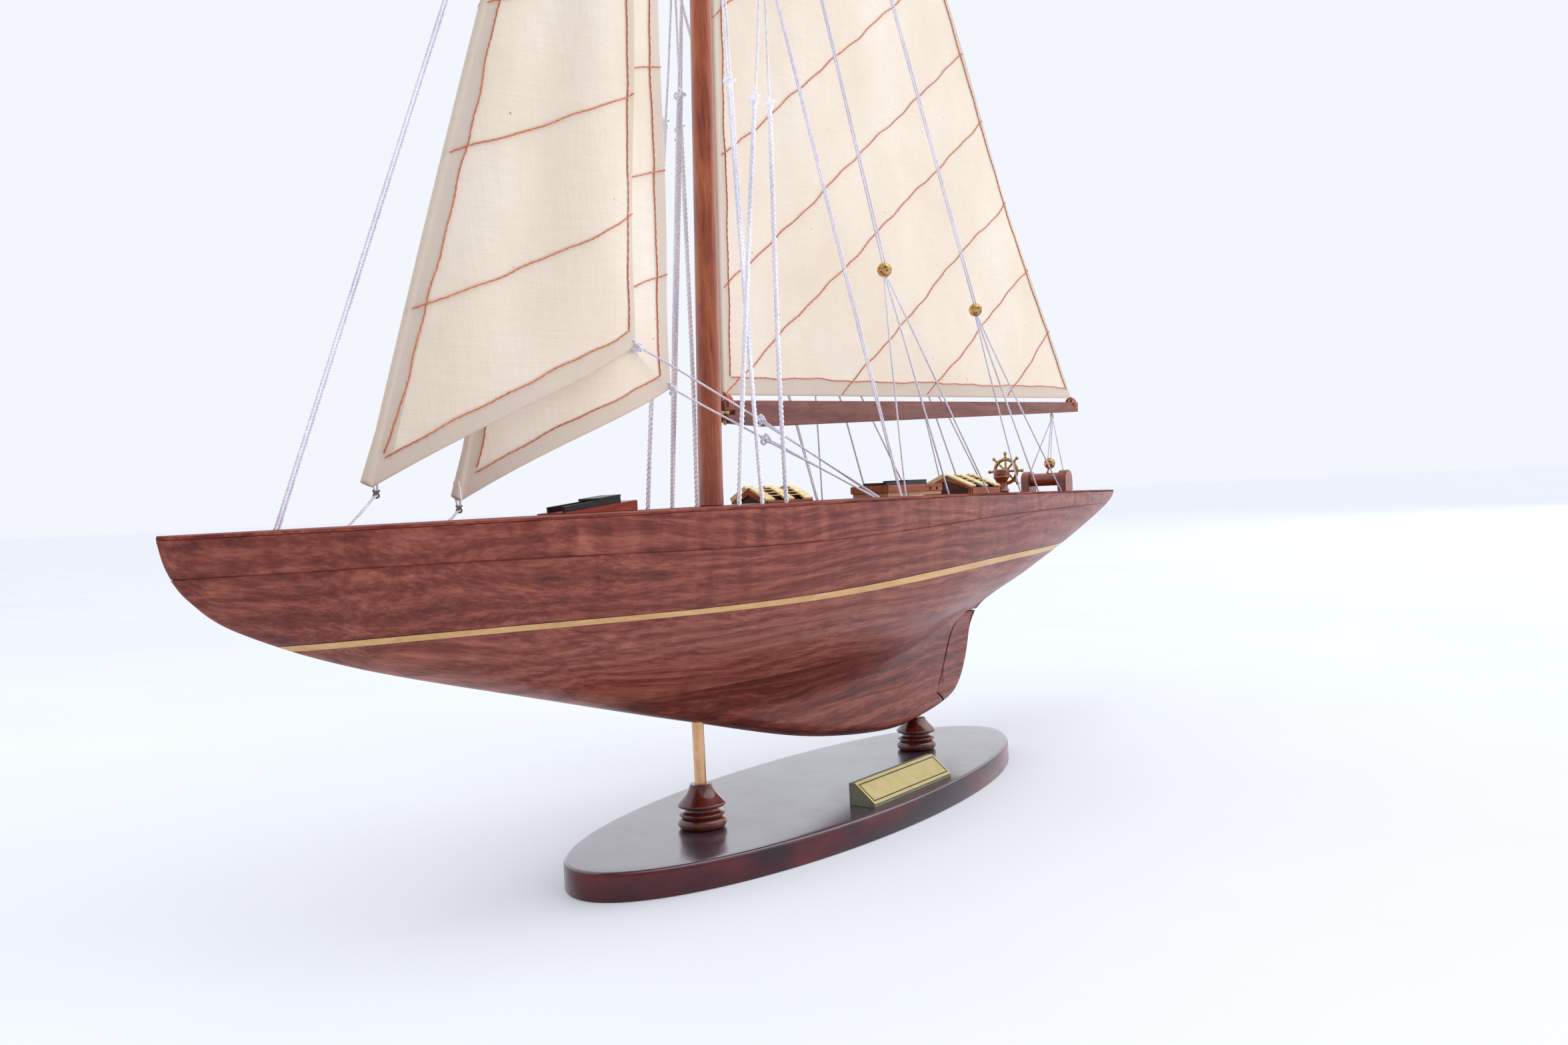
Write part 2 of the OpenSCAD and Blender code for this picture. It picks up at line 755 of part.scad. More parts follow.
// ---- companionway ----
house_fore = -47;
house_aft = -96;
house_half = 10;
house_h = 5;
house_z = deck_z(house_fore);
module companion_house() {
    color(red_wood)
        translate([house_aft, 0, house_z]) {
            translate([0, -house_half + 0.8, 0])
                cube([house_fore - house_aft - 0.8, 2 * house_half - 1.6, 1.6]);
            translate([0, -house_half, 1.6])
                cube([house_fore - house_aft, 2 * house_half, house_h - 1.6]);
        }
}
companion_rail_x = -88;
module companion_rails() {
    color(black)
        for (s = [-1, 1])
            translate([companion_rail_x, s * 5.5 - 0.7, house_z + house_h])
                cube([36, 1.4, 1.4]);
}
module companion_lid() {
    color(black)
        translate([companion_rail_x + 0.5, 0, house_z + house_h]) {
            translate([0, -6.6, 1.4])
                cube([18, 13.2, 0.8]);
            translate([1, -4.8 + lid_gap, 0.3])
                cube([16, 9.6 - 2 * lid_gap, 1.1]);
        }
}

// ---- skylights: [fore x, aft x, width, height, coaming height] ----
function sky_slope(k) = atan((k[3] - k[4]) / (k[2] / 2));
// The skylight's own frame at its aft end, tilted to the deck below it
module on_skylight(k) {
    tilt = atan((deck_z(k[0]) - deck_z(k[1])) / (k[0] - k[1]));
    translate([k[1], 0, deck_z(k[1]) + seat_gap])
        rotate([0, -tilt, 0])
            children();
}
module sky_frame(k) {
    l = k[0] - k[1];
    inset = 1.6;
    on_skylight(k)
        rotate([90, 0, 90])
            difference() {
                linear_extrude(l)
                    polygon([[-k[2] / 2, 0], [k[2] / 2, 0], [k[2] / 2, k[4]], [0, k[3]], [-k[2] / 2, k[4]]]);
                for (z = [-1, l - 1.2])
                    translate([0, 0, z])
                        linear_extrude(2.2)
                            polygon([
                                [-k[2] / 2 + 2.2 * inset, 0.5], [k[2] / 2 - 2.2 * inset, 0.5],
                                [0, k[3] - inset * 1.3]
                            ]);
            }
}
module on_slopes(k) {
    on_skylight(k)
        for (s = [0, 1])
            mirror([0, s, 0])
                translate([0, -k[2] / 2, k[4]])
                    rotate([sky_slope(k), 0, 0])
                        children();
}
function slope_len(k) = norm([k[2] / 2, k[3] - k[4]]);
function strip_x(k, i) = i * (k[0] - k[1] - strip_w) / 2;
module sky_slats(k) {
    on_slopes(k)
        for (i = [0 : 2])
            translate([strip_x(k, i), 0.25 * k[4], 0])
                cube([strip_w, slope_len(k) - ridge_w / 2 - 0.25 * k[4], strip_t]);
}
module sky_bars(k) {
    bay = strip_x(k, 1) - strip_w;
    on_slopes(k)
        for (i = [0, 1])
            for (j = [0 : 2])
                translate([strip_x(k, i) + strip_w, slope_len(k) * (0.32 + 0.22 * j), 0.55])
                    rotate([0, 90, 0])
                        cylinder(h = bay, d = 0.7, $fn = 20);
}
module fore_skylight_frame() {
    color(red_wood)
        sky_frame(fore_sky);
}
module fore_skylight_slats() {
    color(pale_wood)
        sky_slats(fore_sky);
}
module fore_skylight_bars() {
    color(brass)
        sky_bars(fore_sky);
}
module aft_skylight_frame() {
    color(red_wood)
        sky_frame(aft_sky);
}
module aft_skylight_slats() {
    color(pale_wood)
        sky_slats(aft_sky);
}
module aft_skylight_bars() {
    color(brass)
        sky_bars(aft_sky);
}

// ---- wheel ----
pedestal_x = -177.5;
wheel_x = -183;
wheel_z = 138.3;
axle_d = 1.3;
rim_r = 6.3;
module wheel_pedestal() {
    h = 12.4;
    color(red_wood)
        difference() {
            on_deck(pedestal_x)
                translate([0, 0, seat_gap])
                    rotate_extrude($fn = 48)
                        polygon(concat(
                            [[0, 0], [3.6, 0], [3.6, 1]],
                            arc(7.6, 4.6, 4.8, 228, 132, 8),
                            [[4, 9.2], [4, 11.2]],
                            arc(3, 11.4, 1, 0, 90, 4),
                            [[0, h]]
                        ));
            translate([pedestal_x - 6, 0, wheel_z])
                rotate([0, 90, 0])
                    cylinder(h = 6, d = axle_d, $fn = 32);
        }
}
module wheel_axle() {
    color(brass)
        translate([wheel_x - 1.7, 0, wheel_z])
            rotate([0, 90, 0]) {
                cylinder(h = pedestal_x - wheel_x + 1.7, d = axle_d, $fn = 32);
                translate([0, 0, -0.5])
                    cylinder(h = 0.5, d = 2.4, $fn = 32);
            }
}
module ships_wheel() {
    color(brass)
        translate([wheel_x, 0, wheel_z])
            rotate([0, 90, 0])
                difference() {
                    union() {
                        rotate_extrude($fn = 64)
                            translate([rim_r - 0.8, -0.7])
                                square([1.6, 1.4]);
                        translate([0, 0, -1.2])
                            cylinder(h = 2.4, r = 1.9, $fn = 48);
                        for (i = [0 : wheel_spokes - 1])
                            rotate([0, 0, i * 360 / wheel_spokes])
                                rotate([0, 90, 0])
                                    rotate_extrude($fn = 24)
                                        polygon([
                                            [0, 1.5], [0.5, 1.5], [0.5, rim_r + 0.9], [0.75, rim_r + 1.6],
                                            [0.75, wheel_tip_r - 0.3], [0.5, wheel_tip_r], [0, wheel_tip_r]
                                        ]);
                    }
                    translate([0, 0, -3])
                        cylinder(h = 6, d = axle_d + 0.1, $fn = 32);
                }
}

// ---- mainsheet horse ----
horse_x = -233;
cheek_y = 11;
cheek_t = 5;
cheek_r = 5;
cheek_h = 11.8;
module horse_cheeks() {
    color(red_wood)
        on_deck(horse_x)
            for (s = [-1, 1])
                translate([0, s * cheek_y + cheek_t / 2, 0])
                    rotate([90, 0, 0])
                        linear_extrude(cheek_t)
                            polygon(concat(
                                [[-cheek_r, 0.1], [cheek_r, 0.1]],
                                arc(0, cheek_h - cheek_r, cheek_r, 0, 180, 24)
                            ));
}
module horse_bar() {
    color(red_wood)
        on_deck(horse_x)
            translate([0, cheek_y - cheek_t / 2, cheek_h - cheek_r])
                rotate([90, 0, 0])
                    cylinder(h = 2 * cheek_y - cheek_t, d = horse_bar_d, $fn = 64);
}
module sheet_block() {
    bar_top = [horse_x - 0.6, 0.6, deck_z(horse_x) + cheek_h - cheek_r + horse_bar_d / 2 + 0.2];
    color(brass) {
        translate(BALL)
            sphere(d = block_d, $fn = 32);
        line(bar_top, BALL + [0, 0, -block_d / 2 + 0.4], 0.9);
    }
}

base_board();
fore_post();
aft_post();
fore_rod();
aft_rod();
nameplate_block();
nameplate_plate();
keel_lift();
waterline_stripe();
topside_lift();
sheer_lift();
deck();
rudder();
rudder_pin();
mast();
mast_cap();
lower_spreaders();
upper_spreaders();
boom();
gooseneck_eye();
gooseneck_pin();
boom_eye();
mainsail();
jib();
staysail();
forestay();
jib_stay();
staysail_stay();
shrouds_port();
shrouds_starboard();
runners_port();
runners_starboard();
runner_blocks();
jib_sheet();
staysail_sheet();
mainsheet();
fore_hatch_ramp();
fore_hatch_rails();
fore_hatch_lid();
fore_skylight_frame();
fore_skylight_slats();
fore_skylight_bars();
companion_house();
companion_rails();
companion_lid();
aft_skylight_frame();
aft_skylight_slats();
aft_skylight_bars();
wheel_pedestal();
wheel_axle();
ships_wheel();
horse_cheeks();
horse_bar();
sheet_block();
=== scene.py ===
"""Looks of a wooden display yacht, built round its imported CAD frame.

Shapes are worked out in millimetres in the row frame, and make() turns them into metres. The hull form, the
sails and the routes of the cords repeat the CAD source's own formulas and points.
"""

import math

import bmesh
import bpy
import numpy as np
from mathutils import Matrix, Vector
from numpy.linalg import norm


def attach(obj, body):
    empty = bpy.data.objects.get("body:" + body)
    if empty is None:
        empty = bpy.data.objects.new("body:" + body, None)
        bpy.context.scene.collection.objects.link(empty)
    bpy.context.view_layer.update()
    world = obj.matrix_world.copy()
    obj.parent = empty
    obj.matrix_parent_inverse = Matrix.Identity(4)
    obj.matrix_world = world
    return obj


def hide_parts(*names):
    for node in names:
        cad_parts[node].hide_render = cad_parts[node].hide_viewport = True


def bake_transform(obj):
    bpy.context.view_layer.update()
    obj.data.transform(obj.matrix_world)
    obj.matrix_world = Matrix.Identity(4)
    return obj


MM = 0.001
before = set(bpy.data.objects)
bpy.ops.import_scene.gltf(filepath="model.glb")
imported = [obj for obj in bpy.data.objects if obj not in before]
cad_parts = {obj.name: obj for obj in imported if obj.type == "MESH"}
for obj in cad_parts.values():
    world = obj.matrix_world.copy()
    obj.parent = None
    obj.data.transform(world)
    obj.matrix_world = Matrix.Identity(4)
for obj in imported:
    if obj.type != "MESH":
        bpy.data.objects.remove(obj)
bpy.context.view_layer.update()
rng = np.random.default_rng(11)

# ---- camera ----
EYE = (440.345, 309.419, 130.806)
YAW, PITCH, ROLL = (math.radians(a) for a in (-143.76283, -1.17516, -2.73213))
LENS = 29.6463


def link(name, data):
    o = bpy.data.objects.new(name, data)
    bpy.context.scene.collection.objects.link(o)
    return o


def make_camera():
    forward = Vector((math.cos(YAW) * math.cos(PITCH), math.sin(YAW) * math.cos(PITCH), math.sin(PITCH)))
    right = Vector((math.sin(YAW), -math.cos(YAW), 0))
    up = right.cross(forward)
    across = math.cos(ROLL) * right + math.sin(ROLL) * up
    above = -math.sin(ROLL) * right + math.cos(ROLL) * up
    data = bpy.data.cameras.new("camera")
    data.sensor_width, data.lens = 36, LENS
    data.clip_start, data.clip_end = 0.01, 60
    camera = link("camera", data)
    turn = Matrix((across, above, -forward)).transposed().to_4x4()
    camera.matrix_world = Matrix.Translation(Vector(EYE) * MM) @ turn
    bpy.context.scene.camera = camera


make_camera()


# ---- node trees ----
class Shader:
    """A material with a Principled shader, and short calls for the nodes that these materials use."""

    def __init__(self, name, **fixed):
        self.material = bpy.data.materials.new(name)
        self.material.use_nodes = True
        self.tree = self.material.node_tree
        self.tree.nodes.clear()
        self.out = self.tree.nodes.new("ShaderNodeOutputMaterial")
        self.bsdf = self.tree.nodes.new("ShaderNodeBsdfPrincipled")
        self.tree.links.new(self.bsdf.outputs[0], self.out.inputs[0])
        self.place = self.tree.nodes.new("ShaderNodeTexCoord").outputs["Object"]
        for socket, value in fixed.items():
            self.bsdf.inputs[socket.replace("_", " ")].default_value = value

    def put(self, socket, value):
        if isinstance(value, bpy.types.NodeSocket):
            self.tree.links.new(value, socket)
        elif value is not None:
            socket.default_value = value

    def scaled(self, per_mm, vector=None, shift=(0, 0, 0)):
        """The place times a frequency per millimetre along each axis."""
        n = self.tree.nodes.new("ShaderNodeMapping")
        self.put(n.inputs["Vector"], vector or self.place)
        n.inputs["Location"].default_value = shift
        n.inputs["Scale"].default_value = [f * 1000 for f in per_mm]
        return n.outputs[0]

    def noise(self, vector, detail=2, roughness=0.5, colour=False):
        n = self.tree.nodes.new("ShaderNodeTexNoise")
        self.put(n.inputs["Vector"], vector)
        n.inputs["Scale"].default_value = 1
        n.inputs["Detail"].default_value = detail
        n.inputs["Roughness"].default_value = roughness
        return n.outputs[1 if colour else 0]

    def wave(self, vector, distortion, detail=2.0, axis="X"):
        n = self.tree.nodes.new("ShaderNodeTexWave")
        n.bands_direction = axis
        self.put(n.inputs["Vector"], vector)
        n.inputs["Scale"].default_value = 1
        n.inputs["Distortion"].default_value = distortion
        n.inputs["Detail"].default_value = detail
        return n.outputs[1]

    def math(self, kind, a, b=None):
        n = self.tree.nodes.new("ShaderNodeMath")
        n.operation = kind
        self.put(n.inputs[0], a)
        self.put(n.inputs[1], b)
        return n.outputs[0]

    def vector(self, kind, a, b):
        n = self.tree.nodes.new("ShaderNodeVectorMath")
        n.operation = kind
        self.put(n.inputs[0], a)
        self.put(n.inputs[3] if kind == "SCALE" else n.inputs[1], b)
        return n.outputs[0]

    def span(self, value, low, high, to_low=0.0, to_high=1.0):
        n = self.tree.nodes.new("ShaderNodeMapRange")
        self.put(n.inputs[0], value)
        for i, x in enumerate((low, high, to_low, to_high)):
            n.inputs[i + 1].default_value = x
        return n.outputs[0]

    def ramp(self, value, stops):
        n = self.tree.nodes.new("ShaderNodeValToRGB")
        self.put(n.inputs[0], value)
        while len(n.color_ramp.elements) < len(stops):
            n.color_ramp.elements.new(0.5)
        for element, (position, colour) in zip(n.color_ramp.elements, stops):
            element.position, element.color = position, (*colour, 1)
        return n.outputs[0]

    def mix(self, share, a, b):
        n = self.tree.nodes.new("ShaderNodeMix")
        n.data_type = "RGBA"
        self.put(n.inputs[0], share)
        self.put(n.inputs[6], (*a, 1) if isinstance(a, tuple) else a)
        self.put(n.inputs[7], (*b, 1) if isinstance(b, tuple) else b)
        return n.outputs[2]

    def bump(self, height, depth_mm, strength):
        n = self.tree.nodes.new("ShaderNodeBump")
        n.inputs["Strength"].default_value = strength
        n.inputs["Distance"].default_value = depth_mm * MM
        self.put(n.inputs["Height"], height)
        return n.outputs[0]

    def finish(self, colour=None, roughness=None, normal=None):
        for socket, value in (("Base Color", colour), ("Roughness", roughness), ("Normal", normal)):
            if value is not None:
                self.put(self.bsdf.inputs[socket], value)
        return self.material


def tone(hex_colour):
    """A colour as the eye sees it, as the linear values that shaders use."""
    parts = [int(hex_colour[i : i + 2], 16) / 255 for i in (1, 3, 5)]
    return tuple(c / 12.92 if c < 0.04045 else ((c + 0.055) / 1.055) ** 2.4 for c in parts)


def wood(
    name, tones, along=0, seed=0.0, gloss=(0.3, 0.42), fibre=0.5, pores=0.5, figure=0.1, layers=None, **fixed
):
    """Varnished wood with its grain along one axis: warped fibres, broad bands, dark pores and cross figure.
    tones are its dark, middle and light colour. layers is the (lowest height, thickness) of the boards that
    a lift is glued up from, whose grain differs."""
    s = Shader(name, **fixed)
    place, board_shade, glue = s.place, None, None
    if layers:
        height = s.tree.nodes.new("ShaderNodeSeparateXYZ")
        s.put(height.inputs[0], s.place)
        level = s.math("DIVIDE", s.math("SUBTRACT", height.outputs[2], layers[0] * MM), layers[1] * MM)
        board = s.tree.nodes.new("ShaderNodeTexWhiteNoise")
        board.noise_dimensions = "1D"
        s.put(board.inputs["W"], s.math("FLOOR", level))
        board_shade = s.span(board.outputs[0], 0, 1, -0.05, 0.05)
        place = s.vector("ADD", s.place, s.vector("SCALE", board.outputs[1], 0.4))
        edge = s.math("FRACT", level)
        glue = s.span(s.math("MINIMUM", edge, s.math("SUBTRACT", 1.0, edge)), 0.004, 0.012)

    def stretched(f_along, f_across, vector):
        f = [f_across] * 3
        f[along] = f_along
        return s.scaled(f, vector, (seed, seed * 0.7, seed * 1.3))

    drift = s.noise(stretched(0.008, 0.03, place), 2, colour=True)
    warped = s.vector("ADD", place, s.vector("SCALE", drift, 0.022))
    fibres = s.noise(stretched(0.045, 0.95, warped), 6, 0.7)
    bands = s.noise(stretched(0.026, 0.55, warped), 5, 0.66)
    rings = s.wave(stretched(0.006, 0.055, warped), 9.0, 3.0, "Z")
    ripple = s.noise(stretched(0.17, 0.028, warped), 2, 0.5)
    value, total = s.math("MULTIPLY", fibres, fibre), fibre
    for part, share in ((bands, 0.3), (rings, 0.09), (ripple, figure)):
        value = s.math("ADD", value, s.math("MULTIPLY", part, share))
        total += share
    if board_shade:
        value = s.math("ADD", value, board_shade)
    value = s.span(value, 0.32 * total, 0.68 * total)
    dark, middle, light = (tone(t) for t in tones.split())
    colour = s.ramp(value, [(0.0, dark), (0.45, middle), (1.0, light)])
    pore = s.span(s.noise(stretched(0.16, 2.6, warped), 2, 0.55), 0.6, 0.72)
    fleck = s.span(s.noise(stretched(0.05, 0.5, warped), 2, 0.5), 0.35, 0.7)
    pore = s.math("MULTIPLY", pore, fleck)
    colour = s.mix(s.math("MULTIPLY", pore, pores), colour, tuple(c * 0.22 for c in dark))
    if glue:
        colour = s.mix(s.math("MAXIMUM", glue, 0.72), tuple(c * 0.5 for c in dark), colour)
    smear = s.noise(s.scaled((0.02, 0.02, 0.02)), 3, 0.6)
    rough = s.span(s.math("ADD", smear, s.math("MULTIPLY", fibres, 0.3)), 0.4, 0.9, gloss[0], gloss[1])
    normal = s.bump(s.math("SUBTRACT", fibres, pore), 0.035, 0.35)
    return s.finish(colour, rough, normal)


def metal(name, colour, worn, roughness=(0.22, 0.4), grain=(0.3, 0.3, 0.3), age=0.4):
    """Brass with uneven polish, fine brush marks and darker tarnish in patches, whose share is age."""
    s = Shader(name, Metallic=1.0)
    patches = s.noise(s.scaled((0.18, 0.18, 0.18)), 4, 0.6)
    marks = s.noise(s.scaled(grain), 3, 0.6)
    share = s.math("MULTIPLY", s.span(patches, 0.45, 0.7), age)
    rough = s.span(s.math("ADD", patches, marks), 0.7, 1.35, roughness[0], roughness[1])
    return s.finish(s.mix(share, colour, worn), rough, s.bump(marks, 0.02, 0.3))


def cloth(name):
    """Unbleached cotton: a plain weave, uneven threads, small brown husks, and light that comes through."""
    s = Shader(name, Sheen_Weight=0.15, Specular_IOR_Level=0.12)
    weave = s.math(
        "ADD",
        s.wave(s.scaled((0.41, 0.02, 0.02)), 0.6, 1.0, "X"),
        s.wave(s.scaled((0.02, 0.02, 0.41)), 0.6, 1.0, "Z"),
    )
    warp = s.noise(s.scaled((2.2, 0.2, 0.09)), 2, 0.55)
    weft = s.noise(s.scaled((0.09, 0.2, 2.2)), 2, 0.55)
    threads = s.math("ADD", warp, weft)
    cloudy = s.noise(s.scaled((0.02, 0.02, 0.012)), 3, 0.55)
    colour = s.ramp(cloudy, [(0.25, tone("#f4e8d6")), (0.55, tone("#f9f0e3")), (0.8, tone("#fcf5ec"))])
    colour = s.mix(s.span(threads, 0.75, 1.3, 0.0, 0.22), colour, tone("#d9c9b0"))
    cells = s.tree.nodes.new("ShaderNodeTexVoronoi")
    s.put(cells.inputs["Vector"], s.scaled((0.13, 0.13, 0.1)))
    cells.inputs["Scale"].default_value = 1
    kept = s.span(s.noise(s.vector("SCALE", cells.outputs["Position"], 3.7), 0), 0.5, 0.6)
    husk = s.math("MULTIPLY", s.span(cells.outputs["Distance"], 0.035, 0.055, 1.0, 0.0), kept)
    colour = s.mix(s.math("MULTIPLY", husk, 0.62), colour, tone("#8a6a48"))
    # The hems are painted darker and greyer: painted shade, since the double cloth there lets less light
    # through.
    hem = s.tree.nodes.new("ShaderNodeAttribute")
    hem.attribute_name = "hem"
    colour = s.mix(s.math("MULTIPLY", hem.outputs["Fac"], 0.55), colour, tone("#d8c9bb"))
    normal = s.bump(s.math("ADD", s.math("MULTIPLY", weave, 0.5), threads), 0.06, 0.4)
    s.finish(colour, 0.88, normal)
    through = s.tree.nodes.new("ShaderNodeBsdfTranslucent")
    s.put(through.inputs[0], colour)
    s.put(through.inputs[1], normal)
    both = s.tree.nodes.new("ShaderNodeMixShader")
    both.inputs[0].default_value = 0.36
    s.tree.links.new(s.bsdf.outputs[0], both.inputs[1])
    s.tree.links.new(through.outputs[0], both.inputs[2])
    s.tree.links.new(both.outputs[0], s.out.inputs[0])
    return s.material


def fibre(name, light, dark, per_mm=1.6, painted_glow=0.0):
    """Twisted cord or sewing thread: fine fibres, and shade between them. White cord is given a little emission
    of
    its own: painted light, which makes it look brighter than the room's light leaves it."""
    s = Shader(name, Sheen_Weight=0.2, Specular_IOR_Level=0.2)
    hair = s.noise(s.scaled((per_mm, per_mm, per_mm * 0.4)), 3, 0.6)
    soil = s.noise(s.scaled((0.05, 0.05, 0.03)), 2)
    value = s.math("ADD", s.math("MULTIPLY", hair, 0.6), s.math("MULTIPLY", soil, 0.4))
    colour = s.ramp(value, [(0.32, dark), (0.62, light)])
    # painted light: the cord gives off its own colour as an even light
    if painted_glow:
        s.put(s.bsdf.inputs["Emission Color"], colour)
        s.bsdf.inputs["Emission Strength"].default_value = painted_glow
    return s.finish(colour, 0.8, s.bump(hair, 0.08, 0.5))


def painted(name, low, high, gloss, grain=(0.1, 0.7, 0.7)):
    """Dark stain or paint over wood, with a little grain and rubbed patches."""
    s = Shader(name, Specular_IOR_Level=0.4)
    streak = s.noise(s.scaled(grain), 4, 0.6)
    rub = s.noise(s.scaled((0.09, 0.09, 0.09)), 3, 0.6)
    value = s.math("ADD", s.math("MULTIPLY", streak, 0.5), s.math("MULTIPLY", rub, 0.5))
    colour = s.ramp(value, [(0.3, low), (0.7, high)])
    return s.finish(colour, s.span(rub, 0.3, 0.7, *gloss), s.bump(streak, 0.03, 0.3))


VARNISH = {"Coat_Weight": 0.16, "Coat_Roughness": 0.3, "Specular_IOR_Level": 0.2}
GLOSS = {"Coat_Weight": 0.8, "Coat_Roughness": 0.08}
MAHOGANY = "#3e1713 #75352c #a6624f"
# name: (tones, axis of the grain, seed, the other arguments of wood())
WOODS = {
    "bottom": (MAHOGANY, 0, 3.1, {"layers": (22.4, 20.6), **VARNISH}),
    "topside": (MAHOGANY, 0, 7.7, {"figure": 0.16, **VARNISH}),
    "sheer": (MAHOGANY, 0, 12.3, {"figure": 0.3, **VARNISH}),
    "deck": (MAHOGANY, 0, 21.9, {"gloss": (0.5, 0.65), "Specular_IOR_Level": 0.1}),
    "stripe": ("#b58a58 #caa06c #dab684", 0, 5.0, {"pores": 0.2, **VARNISH}),
    "turned": ("#3a0f0a #5e1d12 #7c2f1b", 2, 1.0, {"gloss": (0.16, 0.26), "pores": 0.3, **GLOSS}),
    "spar": ("#5c200c #9a4420 #bd6a3a", 2, 9.0, {"gloss": (0.2, 0.32), "pores": 0.75, **GLOSS}),
    "boom": ("#4f2a26 #74433b #8d5a4e", 0, 15.0, {"gloss": (0.45, 0.6), "figure": 0.2}),
    "house": ("#6b2f1a #9c5230 #bb7248", 0, 17.0, {"gloss": (0.28, 0.4), "fibre": 0.6, **VARNISH}),
    "house_pale": ("#a8744c #c8946a #dbae86", 0, 19.0, {}),
    "hatch": ("#5f1d12 #8c3422 #aa4a32", 0, 23.0, {"gloss": (0.25, 0.36), **VARNISH}),
    "fittings": ("#5a2314 #8a3f25 #a95a38", 1, 27.0, {"gloss": (0.18, 0.28), **GLOSS}),
    "pale": ("#d8bf80 #e9d79f #f2e6ba", 0, 31.0, {"gloss": (0.4, 0.55), "fibre": 0.4, "pores": 0.1}),
    "gable": ("#2b1512 #46241e #5a332a", 1, 33.0, {"gloss": (0.4, 0.55)}),
}
MATERIALS = {}


def make_materials():
    m = MATERIALS
    for name, (tones, along, seed, others) in WOODS.items():
        m[name] = wood(name, tones, along, seed, **others)
    m["black"] = painted("black", tone("#121012"), tone("#2b2528"), (0.25, 0.45))
    # Painted shade: a near-black finish for the faces of gaps, slots and insides, where shade falls.
    m["painted_shade"] = painted("painted_shade", tone("#1a0f0d"), tone("#33201b"), (0.6, 0.8))
    m["base"] = base_finish("base", tone("#26101c"), tone("#341828"), 0.85, 0.45, 0.2)
    # The top's finish is lighter and lilac: partly its own stain, partly a painted reflection of the pale,
    # bluish room.
    m["base_top_painted_sheen"] = base_finish("base_top_painted_sheen", tone("#403642"), tone("#4b404e"), 0.1, 1.0, 0.7)
    m["block_end"] = painted("block_end", tone("#67685a"), tone("#94947e"), (0.5, 0.7), (1.5, 1.5, 1.5))
    m["brass"] = metal("brass", tone("#dcb083"), tone("#b08455"), grain=(0.6, 0.6, 0.05))
    m["old_brass"] = metal("old_brass", tone("#d0ab70"), tone("#8c6c42"), (0.3, 0.5), age=0.55)
    m["plate"] = metal("plate", tone("#b9ab78"), tone("#a3935e"), (0.3, 0.42), (0.03, 1.2, 1.2), 0.3)
    m["cloth"] = cloth("cloth")
    # The white cords give off a little light of their own: painted light that brightens them where the room is
    # dim.
    m["rope"] = fibre("rope", tone("#fbf9ff"), tone("#c6c3d6"), painted_glow=0.1)
    m["rope_grey"] = fibre("rope_grey", tone("#f0eefb"), tone("#c4c0d2"), painted_glow=0.08)
    m["thread"] = fibre("thread", tone("#d98a63"), tone("#b2532f"), 2.2)
    m["tie"] = fibre("tie", tone("#8d8a8e"), tone("#4f4c50"), 2.2)


def base_finish(name, low, high, rubbed, coat, level):
    """Dark stain with a hard satin finish, rubbed through to red in patches, most of all near the ends."""
    s = Shader(name, Coat_Weight=coat, Coat_Roughness=0.16, Specular_IOR_Level=level)
    streak = s.noise(s.scaled((0.02, 0.5, 0.5)), 4, 0.6)
    blotch = s.noise(s.scaled((0.016, 0.016, 0.03)), 3, 0.6)
    place = s.tree.nodes.new("ShaderNodeSeparateXYZ")
    s.put(place.inputs[0], s.place)
    ends = s.math("MULTIPLY", s.math("ABSOLUTE", place.outputs[0]), 1.7)
    blotch = s.math("SUBTRACT", s.math("ADD", blotch, ends), 0.12)
    colour = s.ramp(streak, [(0.3, low), (0.7, high)])
    red = s.mix(streak, tone("#5c1c1e"), tone("#7c2c26"))
    colour = s.mix(s.span(blotch, 0.46, 0.66, 0.0, rubbed), colour, red)
    rough = s.span(s.noise(s.scaled((0.05, 0.05, 0.05)), 3, 0.6), 0.3, 0.7, 0.2, 0.32)
    return s.finish(colour, rough, s.bump(streak, 0.004, 0.1))


make_materials()


# ---- meshes ----
def grid(rows, columns, wrap=False):
    """Faces of a grid of points, row by row."""
    last = columns if wrap else columns - 1
    i, k = np.meshgrid(np.arange(rows - 1), np.arange(last), indexing="ij")
    a, b = i * columns + k, i * columns + (k + 1) % columns
    return np.stack([a, b, b + columns, a + columns], -1).reshape(-1, 4).tolist()


def angles(n):
    return np.linspace(0, 2 * math.pi, n, endpoint=False)


def shift(x, y, z):
    return Matrix.Translation((x, y, z))


def turned(angle, axis):
    return Matrix.Rotation(angle, 4, axis)


def capped(rows, sides):
    """Faces of a round grid with both its ends closed."""
    first, last = list(range(sides))[::-1], [(rows - 1) * sides + k for k in range(sides)]
    return [*grid(rows, sides, True), first, last]


def moved(part, matrix):
    verts, faces = part
    m = np.array(matrix)
    return verts @ m[:3, :3].T + m[:3, 3], faces


def prism(outline, low, high, bevel=0.2):
    """A solid with an outline in x and y, from low to high in z, and rounded edges."""
    bm = bmesh.new()
    ring = [bm.verts.new((x, y, low)) for x, y in outline]
    face = bm.faces.new(ring)
    top = bmesh.ops.extrude_face_region(bm, geom=[face])
    lifted = [g for g in top["geom"] if isinstance(g, bmesh.types.BMVert)]
    bmesh.ops.translate(bm, verts=lifted, vec=(0, 0, high - low))
    bmesh.ops.recalc_face_normals(bm, faces=bm.faces)
    if bevel:
        sharp = [e for e in bm.edges if e.calc_face_angle(0) > 0.3]
        bmesh.ops.bevel(bm, geom=sharp, offset=bevel, segments=2, affect="EDGES", clamp_overlap=True)
    bm.verts.index_update()
    verts = np.array([v.co for v in bm.verts], float).reshape(-1, 3)
    faces = [[v.index for v in f.verts] for f in bm.faces]
    bm.free()
    return verts, faces


